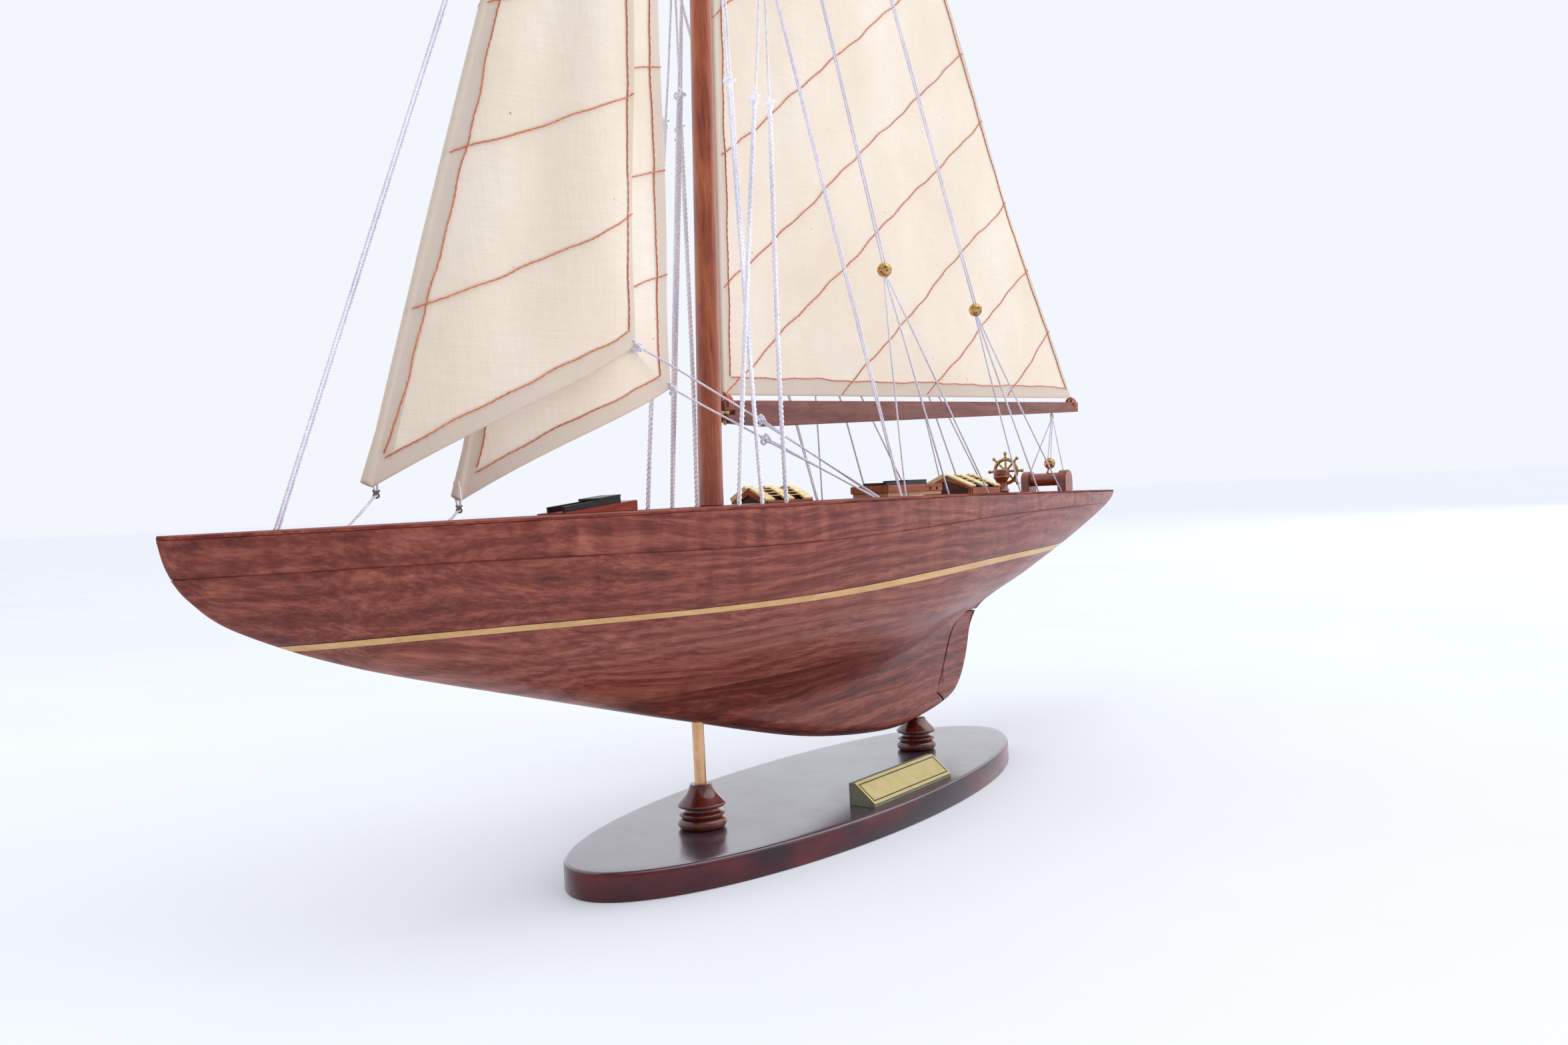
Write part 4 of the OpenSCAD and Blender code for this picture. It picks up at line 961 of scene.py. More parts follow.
def sail_mesh(surface, top, hems, step, rope_edge):
    """A closed cloth with folded hems along its luff, leech and foot, and its hem share at each point."""
    ends = surface(np.zeros(2), np.array([0.0, top]))
    tall = float(norm(ends[1] - ends[0]))
    at_foot_hem = [hems[2] + d for d in (-1.2, -0.4, 0, 0.35, 1.2)]
    rows = np.array([0, 0.3, 0.9, 1.8, 3, 4.2, *at_foot_hem, *np.arange(hems[2] + 4, tall, step)])
    v = np.append(rows[rows < tall - step / 2], tall) / tall * top
    wide = norm(surface(np.ones_like(v), v) - surface(np.zeros_like(v), v), axis=1)
    across = spaced(wide[0], hems[0], hems[1], step)
    count = len(across)
    k_luff, k_leech = 12, 9  # the columns that spaced() gives to each hem
    u = np.zeros((len(v), count))
    for j, w in enumerate(wide):
        squeeze = min(1, w / (2.2 * (hems[0] + hems[1])))
        left = across[:k_luff] * squeeze
        right = w - (wide[0] - across[-k_leech:]) * squeeze
        middle = np.linspace(left[-1], right[0], count - k_luff - k_leech + 2)[1:-1]
        u[j] = np.concatenate([left, middle, right]) / w
    vv = np.repeat(v[:, None], count, 1)
    p = surface(u, vv)
    du, dv = np.gradient(p, axis=1), np.gradient(p, axis=0)
    n = np.cross(du, dv)
    n /= norm(n, axis=2, keepdims=True)
    from_luff, from_leech = u * wide[:, None], (1 - u) * wide[:, None]
    from_foot = vv / top * tall
    inside = np.minimum(np.minimum(from_luff - hems[0], from_leech - hems[1]), from_foot - hems[2])
    hem = 1 - ramp(inside, 0.0, 0.4)
    edge = np.minimum(np.minimum(from_luff, from_leech), np.minimum(from_foot, tall - from_foot))
    half = mix(CLOTH_T, HEM_T, hem) / 2 * mix(0.35, 1, np.sqrt(ramp(edge, 0, 0.5)))
    half = half + rope_edge * np.sqrt(np.clip(1 - ((from_luff - 1.35) / 1.35) ** 2, 0, 1))
    front, back = p + n * half[..., None], p - n * half[..., None]
    r, c = p.shape[:2]
    faces = grid(r, c) + [[i + r * c for i in f[::-1]] for f in grid(r, c)]
    rim = [*range(c)] + [j * c + c - 1 for j in range(1, r)]
    rim += [(r - 1) * c + k for k in range(c - 2, -1, -1)] + [j * c for j in range(r - 2, 0, -1)]
    faces += [[a, a + r * c, b + r * c, b] for a, b in zip(rim, rim[1:] + rim[:1])]
    verts = np.concatenate([front.reshape(-1, 3), back.reshape(-1, 3)])
    return (verts, faces), np.concatenate([hem.ravel(), hem.ravel()])


def locate(surface, x, z, top=1.0):
    """The u and v of points given by x and z, by Newton steps."""
    u, v = np.full(len(x), 0.5), np.full(len(x), 0.4)
    goal = np.stack([x, z], -1)
    for _ in range(24):
        here = surface(u, v)[:, [0, 2]]
        e = 1e-4
        fu = (surface(u + e, v)[:, [0, 2]] - here) / e
        fv = (surface(u, v + e)[:, [0, 2]] - here) / e
        miss = goal - here
        det = fu[:, 0] * fv[:, 1] - fu[:, 1] * fv[:, 0]
        du = (miss[:, 0] * fv[:, 1] - miss[:, 1] * fv[:, 0]) / det
        dv = (fu[:, 0] * miss[:, 1] - fu[:, 1] * miss[:, 0]) / det
        u = np.clip(u + np.clip(du, -0.2, 0.2), -0.02, 1.02)
        v = np.clip(v + np.clip(dv, -0.2, 0.2), 0, top)
    return u, v


def on_cloth(surface, u, v):
    """Points of a surface, and the surface's normals there."""
    e = 1e-3
    p = surface(u, v)
    above = np.minimum(v + e, 1)
    n = np.cross(surface(u + e, v) - p, surface(u, above) - surface(u, above - e))
    return p, n / norm(n, axis=1, keepdims=True)


def stitching(surface, points, lift, top=1.0, wobble=0.35):
    """A row of sewing along x and z points: a thread on each face of the cloth, pulled in at each stitch."""
    p = np.array(points, float)
    step = np.concatenate([[0], np.cumsum(norm(np.diff(p, axis=0), axis=1))])
    n = max(4, int(step[-1] / 0.62))
    at = np.linspace(0, step[-1], n)
    x, z = np.interp(at, step, p[:, 0]), np.interp(at, step, p[:, 1])
    along = np.gradient(np.stack([x, z], -1), axis=0)
    along /= norm(along, axis=1, keepdims=True)
    a, b, c = rng.random(3) * 6
    off = wobble * (np.sin(at / 3.1 + a) * 0.45 + np.sin(at / 7.3 + b) * 0.7 + np.sin(at / 17 + c) * 0.8)
    off = off + rng.normal(0, 0.05, n)
    u, v = locate(surface, x - along[:, 1] * off, z + along[:, 0] * off, top)
    q, normal = on_cloth(surface, u, v)
    out = []
    for side in (1, -1):
        dip = np.abs(np.sin(at / 2.9 * math.pi + (0 if side > 0 else 0.9)))
        height = side * (lift / 2 + 0.02 + 0.2 * dip)
        out.append(tube(q + normal * height[:, None], 0.2 + 0.06 * dip, 5))
    return out


SEAM_POINTS = 60


def edge_seam(surface, which, inset, v0, v1):
    """The x and z of a line along the luff or leech, at a distance from it."""
    v = np.linspace(v0, v1, SEAM_POINTS)
    luff, leech = surface(np.zeros_like(v), v)[:, [0, 2]], surface(np.ones_like(v), v)[:, [0, 2]]
    wide = norm(leech - luff, axis=1, keepdims=True)
    share = np.minimum(np.broadcast_to(inset, (SEAM_POINTS,))[:, None] / wide, 0.45)
    return luff + (leech - luff) * (share if which == "luff" else 1 - share)


def foot_seam(surface, inset, u0, u1, tall):
    """The x and z of a line above the foot, with its distance at the two ends."""
    v = mix(inset[0], inset[1], np.linspace(0, 1, SEAM_POINTS)) / tall
    return surface(np.linspace(u0, u1, SEAM_POINTS), v)[:, [0, 2]]


def finish_sail(name, mesh, hem, node, body, threads):
    """A sail, which replaces a CAD node, and its stitching, both on a body."""
    sail = make(name, [mesh], "cloth", [node], body, 60)
    sail.data.attributes.new("hem", "FLOAT", "POINT").data.foreach_set("value", hem.astype(np.float32))
    stitches = make(f"{name}_stitching", threads, "thread", (), body, 80)
    area_of(mesh)


def area_of(mesh):
    """The area of one face of the cloth, in square metres."""
    v, faces = mesh
    f = np.array([q for q in faces if len(q) == 4])
    a = norm(np.cross(v[f[:, 2]] - v[f[:, 0]], v[f[:, 3]] - v[f[:, 1]]), axis=1).sum() / 2
    return a / 2 * MM * MM


def make_mainsail():
    hems = (5.4, 4.2, 6.8)
    mesh, hem = sail_mesh(main_surface, 1.0, hems, 4.5, 0.28)
    seams = [(43.1 + 6.5, 314.8 + 52 * k, -0.755 - 0.02 * k) for k in range(6)]
    seams += [(47.8, 262.7, -0.70), (50.5, 211.2, -0.685), (52.8, 171.2, -0.66)]
    seams += [(-27.9, 173.8, -0.643), (-101.9, 176.6, -0.615), (-188.1, 178.8, -0.70)]
    roach = np.array([MAIN["clew"], *ROACH], float)
    threads = []
    for k, (x0, z0, slope) in enumerate(seams):  # the panels' seams, from the luff and from the foot
        x0 = min(x0, mast_at(z0) - mast_r(z0) - 1.4)
        x = np.linspace(x0, -280, 400)
        z = z0 + slope * (x - x0) + (0.9 if k > 9 else 0.3) * np.sin((x - x0) / 21)
        keep = (x > np.interp(z, roach[:, 1], roach[:, 0]) + 0.4) & (z < MAIN["head"][1] - 2)
        line = np.stack([x[keep], z[keep]], -1)
        if len(line) > 4:
            threads += stitching(main_surface, line, HEM_T, 1.0, 0.5)
    threads += stitching(main_surface, edge_seam(main_surface, "luff", 5.6, 0.015, 0.97), HEM_T)
    threads += stitching(main_surface, edge_seam(main_surface, "leech", 4.2, 0.01, 0.97), HEM_T)
    threads += stitching(main_surface, foot_seam(main_surface, (7.0, 6.6), 0.018, 0.985, 476), HEM_T)
    t = angles(40)
    for centre, size in (((52.6, 0.4, 169.4), 4.6), ((-270.8, 0.3, 178.6), 3.8)):  # lashings at tack and clew
        threads.append(knot(centre, size, 0.85, (1.4, 0.3, 0.4)))
        for k in range(3):
            x, z = centre[0] - 1.4 + 1.1 * k + 0.3 * np.sin(t), centre[2] - 1.9 + 3.3 * np.sin(t)
            threads.append(tube(np.stack([x, 2.75 * np.cos(t), z], -1), 0.33, 6, closed=True))
    finish_sail("main_sail", mesh, hem, "mainsail", "boom", threads)


HEADSAIL_TOP = 0.97  # where their cloth ends, as a share of the way to the head


def make_headsail(kind, hems, low, seams):
    """A headsail with (height on the luff, slope) seams. low is the luff hem's width at its foot, as a share."""
    surface, top = headsail_surface(kind), HEADSAIL_TOP
    mesh, hem = sail_mesh(surface, top, hems, 3.6, 0.62)
    tack, head = HEADSAILS[kind][0], HEADSAILS[kind][1]
    tall = math.dist(tack, head) * top
    threads = []
    for z0, slope in seams:
        v = (z0 - tack[2]) / (head[2] - tack[2])
        start = surface(np.array([0.004]), np.array([v]))[0]
        x = np.linspace(start[0], 60, 400)
        z = start[2] + slope * (x - start[0]) + 1.6 * np.sin((x - start[0]) / 34) * ramp(start[0] - x, 0, 30)
        leech = surface(np.ones(60), np.linspace(0, 1, 60))[:, [0, 2]]
        keep = (x > np.interp(z, leech[:, 1], leech[:, 0]) + 0.3) & (z < head[2] - 14)
        line = np.stack([x[keep], z[keep]], -1)
        if len(line) > 4:
            threads += stitching(surface, line, HEM_T, top, 0.3)
    inset = mix(hems[0] * low, hems[0], ramp(np.linspace(0, 1, SEAM_POINTS), 0, 0.12))
    threads += stitching(surface, edge_seam(surface, "luff", inset, 0.02, 0.95), HEM_T, top)
    threads += stitching(surface, edge_seam(surface, "leech", hems[1], 0.022, 0.95), HEM_T, top)
    corners = surface(np.array([1.0, 0.0]), np.zeros(2))
    end = 1 - hems[1] / float(norm(corners[:1] - corners[1:]))
    foot_line = foot_seam(surface, (hems[2], hems[2]), hems[0] * low / 116, end, tall)
    threads += stitching(surface, foot_line, HEM_T, top)
    finish_sail(f"{kind}_sail", mesh, hem, kind, "root", threads)


make_mainsail()
seams = [(189 + 49 * k, -0.458 + 0.01 * k) for k in range(6)]
make_headsail("jib", (7.4, 5.2, 8.0), 0.66, seams)
seams = [(186.5 + 42 * k, -0.33 + 0.008 * k) for k in range(6)]
make_headsail("staysail", (7.2, 7.5, 7.4), 1.0, seams)

# ---- rigging ----
LINE_D, SHROUD_D, FOOT_Y, BLOCK_D = 1.0, 1.8, 22.0, 6.4
INNER_KNOT = (55.9, 12.2, 287)
RUNNERS = (((-36, 20, 225.5), 520, (-42, -80, -119)), ((-118, 20, 215.6), 600, (-154, -175, -203)))
SPLICE = 0.733  # how far up its run a shroud's rope ends and its thin line begins


def side(p, s):
    """A port point, or for s of -1 its mirror image to starboard."""
    return (p[0], s * p[1], p[2])


def foot(x, y=FOOT_Y):
    return (x, y, deck_z(x) - 0.15)


def at_mast(z, d):
    return (mast_at(z), mast_r(z) + d / 2 + 0.2, z)


def ahead(z):
    return (mast_at(z) + mast_r(z) + 0.9, 0, z)


def between(a, b, t):
    return tuple(np.array(a, float) + (np.array(b, float) - np.array(a, float)) * t)


def off(p, *by):
    return np.add(p, by)


def cords(name, parts, nodes=(), look="rope_grey", body="root"):
    return make(name, parts, look, nodes, body, 80)


def make_shrouds(s, name, node):
    parts = []
    for x, spread in ((75, 2.2), (46, 0.0)):
        a, b = side(foot(x), s), side(off(LOWER_TIP, spread, 0, -1.5), s)
        splice = between(a, b, SPLICE)
        parts += [rope(a, splice, SHROUD_D, 0.8), rope(splice, b, LINE_D, 0.2)]
        parts.append(knot(off(splice, 0.5, 0.3 * s, 0.6), 4.4, 0.8, (1.2, 0.4, 0.2), 1.3))
        parts.append(rope(off(splice, 0.4, 0.8 * s, -1), off(splice, 2.2, 1.6 * s, -4.6), 0.7, 0.2))
    a, b = side(foot(-38), s), side(off(LOWER_TIP, -2.2, 0, -1.5), s)
    for gap in (-0.5, 0.5):
        parts.append(rope(off(a, gap, 0, 0), off(b, gap * 0.6, 0, 0), 0.85, 0.25))
    a, b = side(foot(61), s), side(INNER_KNOT, s)
    for gap in (-0.8, 0.8):
        parts.append(rope(off(a, gap * 0.6, 0.3 * gap, 0), off(b, gap, 0, 0), 1.45, 0.5))
    parts.append(knot(b, 4.6, 0.9, (1.0, 0.2, 0.6), 1.2))
    for k, z in enumerate((400, 460)):
        parts.append(rope(off(b, 0.8 - 1.6 * k, 0, 1.2), side(at_mast(z, LINE_D), s), LINE_D, 0.2))
    tip = off(UPPER_TIP, 0, 0, -1.2)
    parts.append(rope(side(off(LOWER_TIP, 0, 0, 1.5), s), side(tip, s), LINE_D, 0.1))
    tip = off(UPPER_TIP, 0, 0, 1.2)
    parts.append(rope(side(tip, s), side(at_mast(MAST_TOP - 14, LINE_D), s), LINE_D, 0.1))
    for tip in (LOWER_TIP, UPPER_TIP):
        parts.append(knot(side(tip, s), 3.4, 0.8, (0.2, 1.3, 0)))
    cords(name, parts, [node], "rope")


def make_runners(s, name, node):
    parts = []
    for block, z, feet in RUNNERS:
        top, centre = side(at_mast(z, LINE_D), s), side(block, s)
        for gap in (-0.75, 0.75):
            parts.append(rope(off(centre, gap * 1.5, 0, 2.4), off(top, gap, 0, 0), 0.8, 0.35))
        for x, spread, d in zip(feet, (-0.9, 0.0, 0.9), (0.85, 1, 0.9)):
            parts.append(rope(off(centre, -spread, 0.2 * s, -2.5), side(foot(x), s), LINE_D * d, 0.4))
    cords(name, parts, [node])


def bead(centre, turn):
    """A brass bead with a cord hole through its middle and small holes round its shoulders."""
    bm = bmesh.new()
    bmesh.ops.create_icosphere(bm, subdivisions=5, radius=BLOCK_D / 2)
    co = np.array([v.co for v in bm.verts])
    faces = [[v.index for v in f.verts] for f in bm.faces]
    bm.free()
    unit = co / norm(co, axis=1, keepdims=True)
    holes = [(0, 0, 1, 0.9), (0, 0, -1, 0.9)]  # direction and radius of each
    for level, count, r in ((0.52, 6, 0.42), (-0.52, 6, 0.42), (0.0, 8, 0.34)):
        for k in range(count):
            a = 2 * math.pi * (k + (0.5 if level < 0 else 0)) / count
            flat = math.sqrt(1 - level * level)
            holes.append((flat * math.cos(a), flat * math.sin(a), level, r))
    depth = np.zeros(len(unit))
    for x, y, z, r in holes:
        away = np.arccos(np.clip(unit @ np.array([x, y, z]), -1, 1)) * BLOCK_D / 2
        depth = np.maximum(depth, (1 - ramp(away, r * 0.72, r * 1.12)) * 1.1)
        depth -= 0.07 * np.exp(-(((away - r * 1.35) / 0.16) ** 2))
    co = unit * (BLOCK_D / 2 - 0.05 - depth)[:, None]
    return moved((co, faces), shift(*centre) @ turned(turn, "Y") @ turned(turn * 2.1, "Z"))


BALL, HORSE_X = (-236, 1, 142), -233.0
CHEEK_Y, CHEEK_T, CHEEK_R, CHEEK_H, BAR_D = 11.0, 5.0, 5.0, 11.8, 7.2


def make_head_stays():
    """The fore stay, and for each headsail the lines at its tack and head."""
    low, high = foot(244.5, 0), ahead(597)
    stay = [rope(off(low, g, 0, 0), off(high, g, 0, 0), 0.95, 0.3) for g in (-0.55, 0.55)]
    cords("fore_stay_ropes", stay, ["forestay"])
    loop = [(0.6, 0.9, 8.2), (0.5, 1.25, 6.0), (0.3, 1.2, 3.4), (0.1, 0.7, 1.0)]
    loop += [(0, -0.5, 0.6), (0.2, -1.2, 3.4), (0.4, -1.2, 6.0), (0.6, -0.8, 8.2)]
    for kind, deck_x, z in (("jib", 222.5, 560), ("staysail", 187.5, 530)):
        tack, head, clew = (np.array(p, float) for p in HEADSAILS[kind][:3])
        cloth_top = ((tack + (head - tack) * HEADSAIL_TOP) + (clew + (head - clew) * HEADSAIL_TOP)) / 2
        low = np.array(TACK_KNOTS[kind])
        lace = [rope(foot(deck_x, 0), low + (0.2, 0.2, -0.4), 0.9, 0.1)]
        lace.append(rope(cloth_top + (0, 0, -2.5), ahead(z), 0.9, 0.1))
        cords(f"{kind}_lace", lace, [f"{kind}_stay"])
        tie = [knot(low, 2.4, 0.6, (1.5, 0.2, 0)), knot(cloth_top + (0, 0, -2.2), 2.6, 0.7, (1.4, 0, 0))]
        cords(f"{kind}_tack_tie", tie, look="tie")
        cords(f"{kind}_tack_loop", [tube([low + p for p in loop], 0.36, 8)], look="rope")


def make_headsail_sheet(kind, mid, end):
    clew = np.array(HEADSAILS[kind][2], float)
    eye = clew + (2.2, 0.3, 1.6)
    parts = [rope(clew + (-0.6, 0.5, -0.2), mid, 0.9, 0.5)]
    parts.append(knot(clew + (-0.8, 0.7, -0.8), 3.6, 0.8, (0.6, 1.0, 0.2)))
    parts.append(rope(clew + (-0.4, 1.2, -1.2), clew + (1.2, 2.0, -3.4), 0.6, 0.2))
    bends = ((-2.4, -0.2, -1.4), (-0.6, 0.9, 0.2), (0, 0, 0), (-0.4, -0.9, -0.4), (-2.6, -0.4, -2.2))
    parts.append(tube([eye + p for p in bends], 0.4, 7))
    parts.append(knot(mid, 4.2, 0.9, (0.4, 0.9, 0.8), 1.5))
    for gap in (-0.55, 0.55):
        parts.append(rope(off(mid, 0, 0, gap), off(end, gap, 0, 0), 0.8, 0.4))
    cords(f"{kind}_sheet_ropes", parts, [f"{kind}_sheet"])


def make_main_sheet():
    """Cords between the root and the boom, on no body: two falls to the brass bead, and two to the deck."""
    top, port_foot = np.array([SHEET_EYE_X, 0, 166.6]), foot(-243, 8)
    falls = [rope(top + (0, 0.5 * s, 0.3), off(BALL, 0, 0.9 * s, 2.4), 0.75, 0.2) for s in (-1, 1)]
    falls = cords("main_sheet_falls", falls, look="rope", body=None)
    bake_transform(falls)
    parts = [rope(top + (-0.3, -0.5, 0.4), foot(-241, -19), 0.85, 0.2)]
    parts.append(rope(top + (-0.3, 0.5, 0.4), port_foot, 0.85, 0.2))
    parts += [knot(top + (0, 0, 0.6), 2.8, 0.6, (1.3, 0, 0)), knot(off(port_foot, 0, 0, 1.1), 2.6, 0.7)]
    tackle = cords("main_sheet_ropes", parts, ["mainsheet"], "rope", None)
    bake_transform(tackle)
    post_top = (HORSE_X - 0.6, 0.6, deck_z(HORSE_X) + CHEEK_H - CHEEK_R + BAR_D / 2)
    post = [post_top, between(post_top, BALL, 0.4), off(BALL, 0, 0, -BLOCK_D / 2 + 0.4)]
    shank = tube(post, [0.8, 0.42, 0.55], 14)
    make("sheet_bead", [bead(BALL, 0.3), shank], "old_brass", ["sheet_block"], sharp=60)


def make_rigging():
    make_head_stays()
    for s, word in ((1, "port"), (-1, "starboard")):
        make_shrouds(s, f"{word}_shroud_ropes", f"shrouds_{word}")
        make_runners(s, f"{word}_runner_ropes", f"runners_{word}")
    beads = [bead(side(r[0], s), 0.4 * s + 0.9 * k) for k, r in enumerate(RUNNERS) for s in (-1, 1)]
    make("runner_beads", beads, "old_brass", ["runner_blocks"], sharp=60)
    make_headsail_sheet("jib", (54.6, 18, 159.6), (-13, 26, 128.5))
    make_headsail_sheet("staysail", (47, 14.3, 152.8), (-15, 23, 128.5))
    make_main_sheet()


make_rigging()


# ---- deck fittings ----
def nail(x, y, z, r):
    return moved(lathe([(r, -0.3), (r, 0.06), (r * 0.75, 0.16), (0.01, 0.2)], 14), shift(x, y, z))


def make_fore_hatch():
    fore, aft, low, high, half = 146.0, 112.0, 0.4, 3.62, 7.0
    z = deck_z(aft)
    part = side_board([(aft, z), (fore, z), (fore, z + low), (aft, z + high)], -half, half, 0.25)
    make("fore_hatch_board", [part], "hatch", ["fore_hatch_ramp"])
    slope = math.atan((high - low) / (fore - aft))
    # x runs aft along the board, up its slope
    up = shift(fore, 0, z + low) @ turned(slope, "Y") @ Matrix.Scale(-1, 4, (1, 0, 0))
    rails = [moved(board((2, 29), (s * 3.5 - 0.65, s * 3.5 + 0.65), (0, 1.9), 0.16), up) for s in (-1, 1)]
    make("fore_hatch_runners", rails, "black", ["fore_hatch_rails"])
    lid = [
        moved(board((17.5, 28.5), (-4.9, 4.9), (1.9, 2.7), 0.18), up),
        moved(board((18.5, 27.5), (-2.55, 2.55), (0.7, 1.95), 0.1), up),
    ]
    make("fore_hatch_slider", lid, "black", ["fore_hatch_lid"], "fore_hatch_lid")


def make_companion():
    z = deck_z(-47)
    parts = [
        (*board((-96, -47.8), (-9.2, 9.2), (z, z + 1.75), 0.12), 1),
        (*board((-96, -47), (-10, 10), (z + 1.6, z + 5), 0.3), 0),
        (*board((-95.2, -48), (-9.2, 9.2), (z + 4.6, z + 5.05), 0.1), 0),
    ]
    # The slots are thin dark sheets in painted shade, standing for the shade inside each slot.
    for x in (-84.5, -90.5):  # dark slots in the house's sides
        for y in (-10.03, 10.03):
            parts.append((*board((x - 0.8, x + 0.8), (y - 0.08, y + 0.08), (z + 2.2, z + 3.6), 0.03), 2))
    make("companion_coaming", parts, ["house", "house_pale", "painted_shade"], ["companion_house"])
    top = z + 5
    rails = [board((-88, -52), (s * 5.5 - 0.7, s * 5.5 + 0.7), (top, top + 1.4), 0.16) for s in (-1, 1)]
    make("companion_runners", rails, "black", ["companion_rails"])
    lid = [board((-87.5, -69.5), (-6.6, 6.6), (top + 1.4, top + 2.2), 0.2)]
    lid.append(board((-86.5, -70.5), (-4.5, 4.5), (top + 0.3, top + 1.45), 0.1))
    make("companion_slider", lid, "black", ["companion_lid"], "companion_lid")


STRIP_W, STRIP_T, RIDGE_W = 6.0, 0.9, 1.6


def skylight_box(seat, long, half, high, coaming, pitch):
    """Gable ends with a dark panel in each, coamings along both sides, and a body under the slats in painted
    shade, which stands for the shade inside.
    """
    end_w, drop, parts = 1.5, 2.1 / math.cos(pitch), []
    upright = seat @ ACROSS
    for x in (0, long - end_w):
        for s in (-1, 1):
            outline = [(s * half, 0.0), (s * half, coaming), (0, high), (0, high - drop)]
            outline += [(s * (half - 2.0), coaming + 0.2 - drop * 0.35), (s * (half - 2.0), 0)]
            parts.append((*moved(prism(outline, x, x + end_w, 0.14), upright), 0))
        panel = [(-half + 0.6, 0.05), (half - 0.6, 0.05), (half - 0.6, coaming * 0.6)]
        panel += [(0, high - 1.1), (-half + 0.6, coaming * 0.6)]
        inner = x + (0.75 if x == 0 else 0)
        parts.append((*moved(prism(panel, inner, inner + end_w - 0.75, 0.05), upright), 1))
    top, bevel = (coaming, 0.14) if coaming > 1 else (coaming + 0.25, 0.1)
    for s in (-1, 1):
        y = sorted((s * half, s * (half - 1.3)))
        parts.append((*moved(board((0.4, long - 0.4), y, (0, top), bevel), seat), 0))
    shoulder = max(0.2, coaming - 0.9)
    # the body under the slats is painted shade
    under = [(-half + 1, 0.1), (half - 1, 0.1), (half - 1, shoulder), (0, high - 1.5), (-half + 1, shoulder)]
    parts.append((*moved(prism(under, 0.9, long - 0.9, 0.05), upright), 2))
    return parts


def make_skylight(word, fore, aft, wide, high, coaming):
    """A skylight with three pale slats and two bays of rods on each slope. The starboard slats are thicker, and
    the foremost of them has studs in its fore edge."""
    tilt = math.atan((deck_z(fore) - deck_z(aft)) / (fore - aft))
    seat = shift(aft, 0, deck_z(aft) + 0.1) @ turned(-tilt, "Y")
    long, half = fore - aft, wide / 2
    pitch, reach = math.atan((high - coaming) / half), math.hypot(half, high - coaming)
    parts = skylight_box(seat, long, half, high, coaming, pitch)
    looks = ["house", "gable", "painted_shade"]
    make(f"{word}_skylight_box", parts, looks, [f"{word}_skylight_frame"])
    slats, bars = [], []
    bay, low = (long - STRIP_W) / 2, 0.25 * coaming
    stud = moved(lathe([(0.3, -0.3), (0.3, 0.05), (0.22, 0.12), (0.01, 0.15)], 14), turned(QUARTER, "Y"))
    inset = 1.2  # of the nails from a slat's edge
    nails_at = ((STRIP_W - inset,), (inset, STRIP_W - inset), (inset,))
    for s in (-1, 1):
        slope = seat @ Matrix.Scale(s, 4, (0, 1, 0)) @ shift(0, -half, coaming) @ turned(pitch, "X")
        thick = 2.0 if s > 0 else STRIP_T
        for i in range(3):
            x = i * bay
            slat = board((x, x + STRIP_W), (low, reach - RIDGE_W / 2), (0, thick), 0.14)
            slats.append((*moved(slat, slope), 0))
            if s > 0 and i == 2:
                for k in range(4):
                    spot = shift(x + STRIP_W, mix(low, reach, 0.14 + 0.24 * k), thick / 2)
                    slats.append((*moved(stud, slope @ spot), 1))
            for k in range(3):
                y = low + (reach - low) * (0.16 + 0.3 * k)
                for dx in nails_at[i]:
                    slats.append((*moved(nail(x + dx, y, thick, 0.3), slope), 1))
        for i in range(2):
            for j in range(3):
                y, x = reach * (0.32 + 0.22 * j), i * bay + STRIP_W
                path = np.linspace((x - 0.3, y, 0.55), (x + bay - STRIP_W + 0.3, y, 0.55), 5)
                bars.append(moved(tube(path, [0.42, 0.34, 0.34, 0.34, 0.42], 14), slope))
    ridge = board((0.2, long - 0.2), (-RIDGE_W / 2, RIDGE_W / 2), (high - 0.35, high + 0.3), 0.14)
    slats.append((*moved(ridge, seat), 2))
    looks = ["pale", "old_brass", "house"]
    make(f"{word}_skylight_boards", slats, looks, [f"{word}_skylight_slats"])
    make(f"{word}_skylight_rods", bars, "old_brass", [f"{word}_skylight_bars"])


PEDESTAL_X, WHEEL_X, WHEEL_Z, RIM_R, TIP_R = -177.5, -183.0, 138.3, 6.3, 10.3


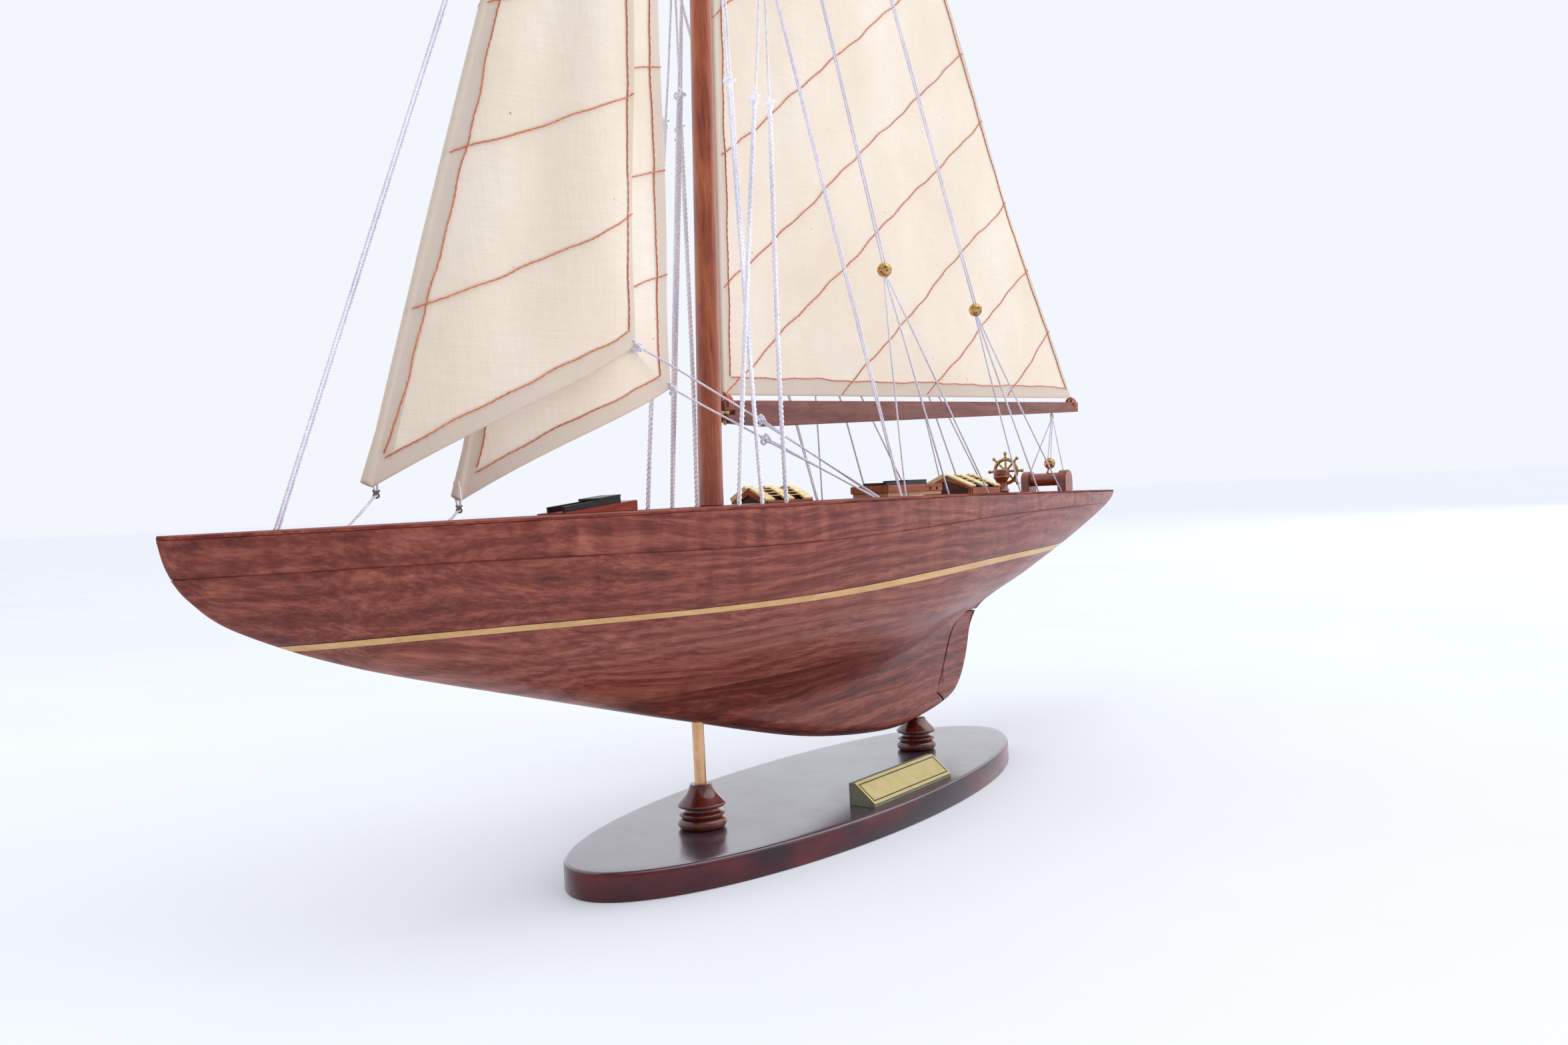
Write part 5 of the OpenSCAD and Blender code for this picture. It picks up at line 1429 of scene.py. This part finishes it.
def make_wheel():
    profile = [(0.01, 0), (3.5, 0), (3.6, 0.15), (3.6, 0.9), (3.45, 1.05), *arc(7.6, 4.6, 4.8, 228, 132, 16)]
    profile += [(4.0, 9.2), (4.15, 9.5), (4.15, 10.9), (4.0, 11.2), *arc(3, 11.4, 1, 0, 84, 8), (0.01, 12.4)]
    at = shift(PEDESTAL_X, 0, deck_z(PEDESTAL_X) + 0.1)
    make("wheel_post", [moved(lathe(profile, 64), at)], "fittings", ["wheel_pedestal"])
    hub = shift(WHEEL_X, 0, WHEEL_Z) @ turned(QUARTER, "Y")
    axle = [(0.01, -2.2), (0.9, -2.2), (1.2, -2.0), (1.2, -1.7), (0.65, -1.7), (0.65, 4.5)]
    axle += [(0.5, 5.4), (0.01, 5.5)]
    make("wheel_spindle", [moved(lathe(axle, 28), hub)], "old_brass", ["wheel_axle"])
    rim = [(RIM_R + 0.95 * math.cos(t), 0.8 * math.sin(t)) for t in np.linspace(0, 2 * math.pi, 25)]
    lip = [(RIM_R + 0.25 * math.cos(t), 0.74 + 0.16 * math.sin(t)) for t in np.linspace(0, 2 * math.pi, 11)]
    lip = lathe(lip, 96, False)
    parts = [moved(part, hub) for part in (lathe(rim, 96, False), lip, (lip[0] * [1, 1, -1], lip[1]))]
    boss = [(0.72, -1.2), (1.5, -1.2), (1.9, -0.8), (1.9, 0.8), (1.5, 1.2), (0.72, 1.2)]
    parts.append(moved(lathe(boss, 40), hub))
    spoke = [(0.01, 1.2), (0.55, 1.3), (0.72, 2.2), (0.5, 2.8), (0.7, 3.8), (0.52, 4.8), (0.55, 5.6)]
    spoke += [(0.55, 7.1), (0.8, 7.3), (0.8, 7.6), (0.5, 7.9), (0.5, 8.3), (0.85, 8.9), (0.95, 9.5)]
    spoke += [(0.75, 10.1), (0.01, TIP_R)]
    spoke = lathe(spoke, 20)
    for k in range(8):
        parts.append(moved(spoke, hub @ (turned(k * math.pi / 4, "Z") @ turned(QUARTER, "Y"))))
    make("helm_wheel", parts, "old_brass", ["ships_wheel"], "wheel")


def make_horse():
    z = deck_z(HORSE_X)
    outline = [(-CHEEK_R, 0.0), (CHEEK_R, 0.0), *arc(0, CHEEK_H - CHEEK_R, CHEEK_R, 0, 180, 28)]
    cheeks = []
    for y in (-CHEEK_Y, CHEEK_Y):
        cheek = side_board(outline, y - CHEEK_T / 2, y + CHEEK_T / 2, 0.35)
        cheeks.append(moved(cheek, shift(HORSE_X, 0, z)))
    make("horse_brackets", cheeks, "fittings", ["horse_cheeks"])
    half, r = CHEEK_Y - CHEEK_T / 2, BAR_D / 2
    bar = [(0.01, -half), (r - 0.15, -half), (r, -half + 0.2), (r, half - 0.2), (r - 0.15, half), (0.01, half)]
    axis = shift(HORSE_X, 0, z + CHEEK_H - CHEEK_R) @ UPRIGHT
    make("horse_roller", [moved(lathe(bar, 72), axis)], "fittings", ["horse_bar"])


make_fore_hatch()
make_companion()
make_skylight("fore", 41, 9, 17, 5.8, 0.6)
make_skylight("aft", -118, -150, 27, 9, 3)
make_wheel()
make_horse()
own_looks = {"rudder_pin": "brass", "gooseneck_eye": "old_brass", "gooseneck_pin": "old_brass"}
for node, material in own_looks.items():  # CAD nodes that stay as they are
    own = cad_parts[node]
    own.data.materials.clear()
    own.data.materials.append(MATERIALS[material])


# ---- surroundings ----
def make_floor():
    s = Shader("floor", Specular_IOR_Level=0.15, Emission_Color=(0.88, 0.91, 0.97, 1), Emission_Strength=0.26)
    shade = s.noise(s.scaled((0.004, 0.004, 0.004)), 3, 0.6)
    s.finish(s.ramp(shade, [(0.3, (0.56, 0.585, 0.63)), (0.7, (0.59, 0.61, 0.65))]), 0.6, None)
    sides = 96
    a = angles(sides)
    rings = [np.stack([r * np.cos(a), r * np.sin(a), 0 * a], 1) for r in (1, 300, 900, 2500, 9000, 30000)]
    mesh = bpy.data.meshes.new("floor")
    mesh.from_pydata(np.concatenate(rings) * MM, [], capped(len(rings), sides)[:-1])
    mesh.materials.append(s.material)
    link("floor", mesh)


def lamp(name, place, towards, size, power):
    """A panel of light, measured in metres, that doesn't show in polished things."""
    data = bpy.data.lights.new(name, "AREA")
    data.shape, data.size, data.size_y = "RECTANGLE", size[0], size[1]
    data.energy = power
    o = link(name, data)
    way = Vector(towards) - Vector(place)
    o.matrix_world = Matrix.Translation(place) @ way.to_track_quat("-Z", "Y").to_matrix().to_4x4()
    o.visible_glossy = False


def make_light():
    """A pale room, dimmer behind the camera, and a wide soft sun that brings the floor up to the backdrop."""
    scene = bpy.context.scene
    scene.view_settings.view_transform = "Standard"
    scene.world = bpy.data.worlds.new("studio")
    scene.world.use_nodes = True
    tree = scene.world.node_tree
    background = tree.nodes["Background"]
    place = tree.nodes.new("ShaderNodeTexCoord")
    along = tree.nodes.new("ShaderNodeVectorMath")
    along.operation = "DOT_PRODUCT"
    along.inputs[1].default_value = (0.8, 0.6, 0)
    tree.links.new(place.outputs["Generated"], along.inputs[0])
    front = tree.nodes.new("ShaderNodeMapRange")
    front.interpolation_type = "SMOOTHSTEP"
    tree.links.new(along.outputs["Value"], front.inputs[0])
    for k, value in enumerate((-0.1, 0.85, 1.0, 0.46)):
        front.inputs[k + 1].default_value = value
    tree.links.new(front.outputs[0], background.inputs[1])
    background.inputs[0].default_value = (0.905, 0.92, 0.983, 1)
    sun = bpy.data.lights.new("sun", "SUN")
    sun.energy, sun.angle, sun.color = 0.95, math.radians(70), (0.97, 0.98, 1.0)
    link("sun", sun).matrix_world = Vector((-0.45, 0.5, 1.0)).to_track_quat("Z", "Y").to_matrix().to_4x4()
    lamp("aft_panel", (-3.1, 1.6, 0.6), (-0.2, 0, 0.12), (1.6, 0.8), 72)
    lamp("floor_panel", (0.75, 0.15, 1.3), (0.75, 0.1, 0), (1.0, 1.0), 5.0)


make_floor()
make_light()
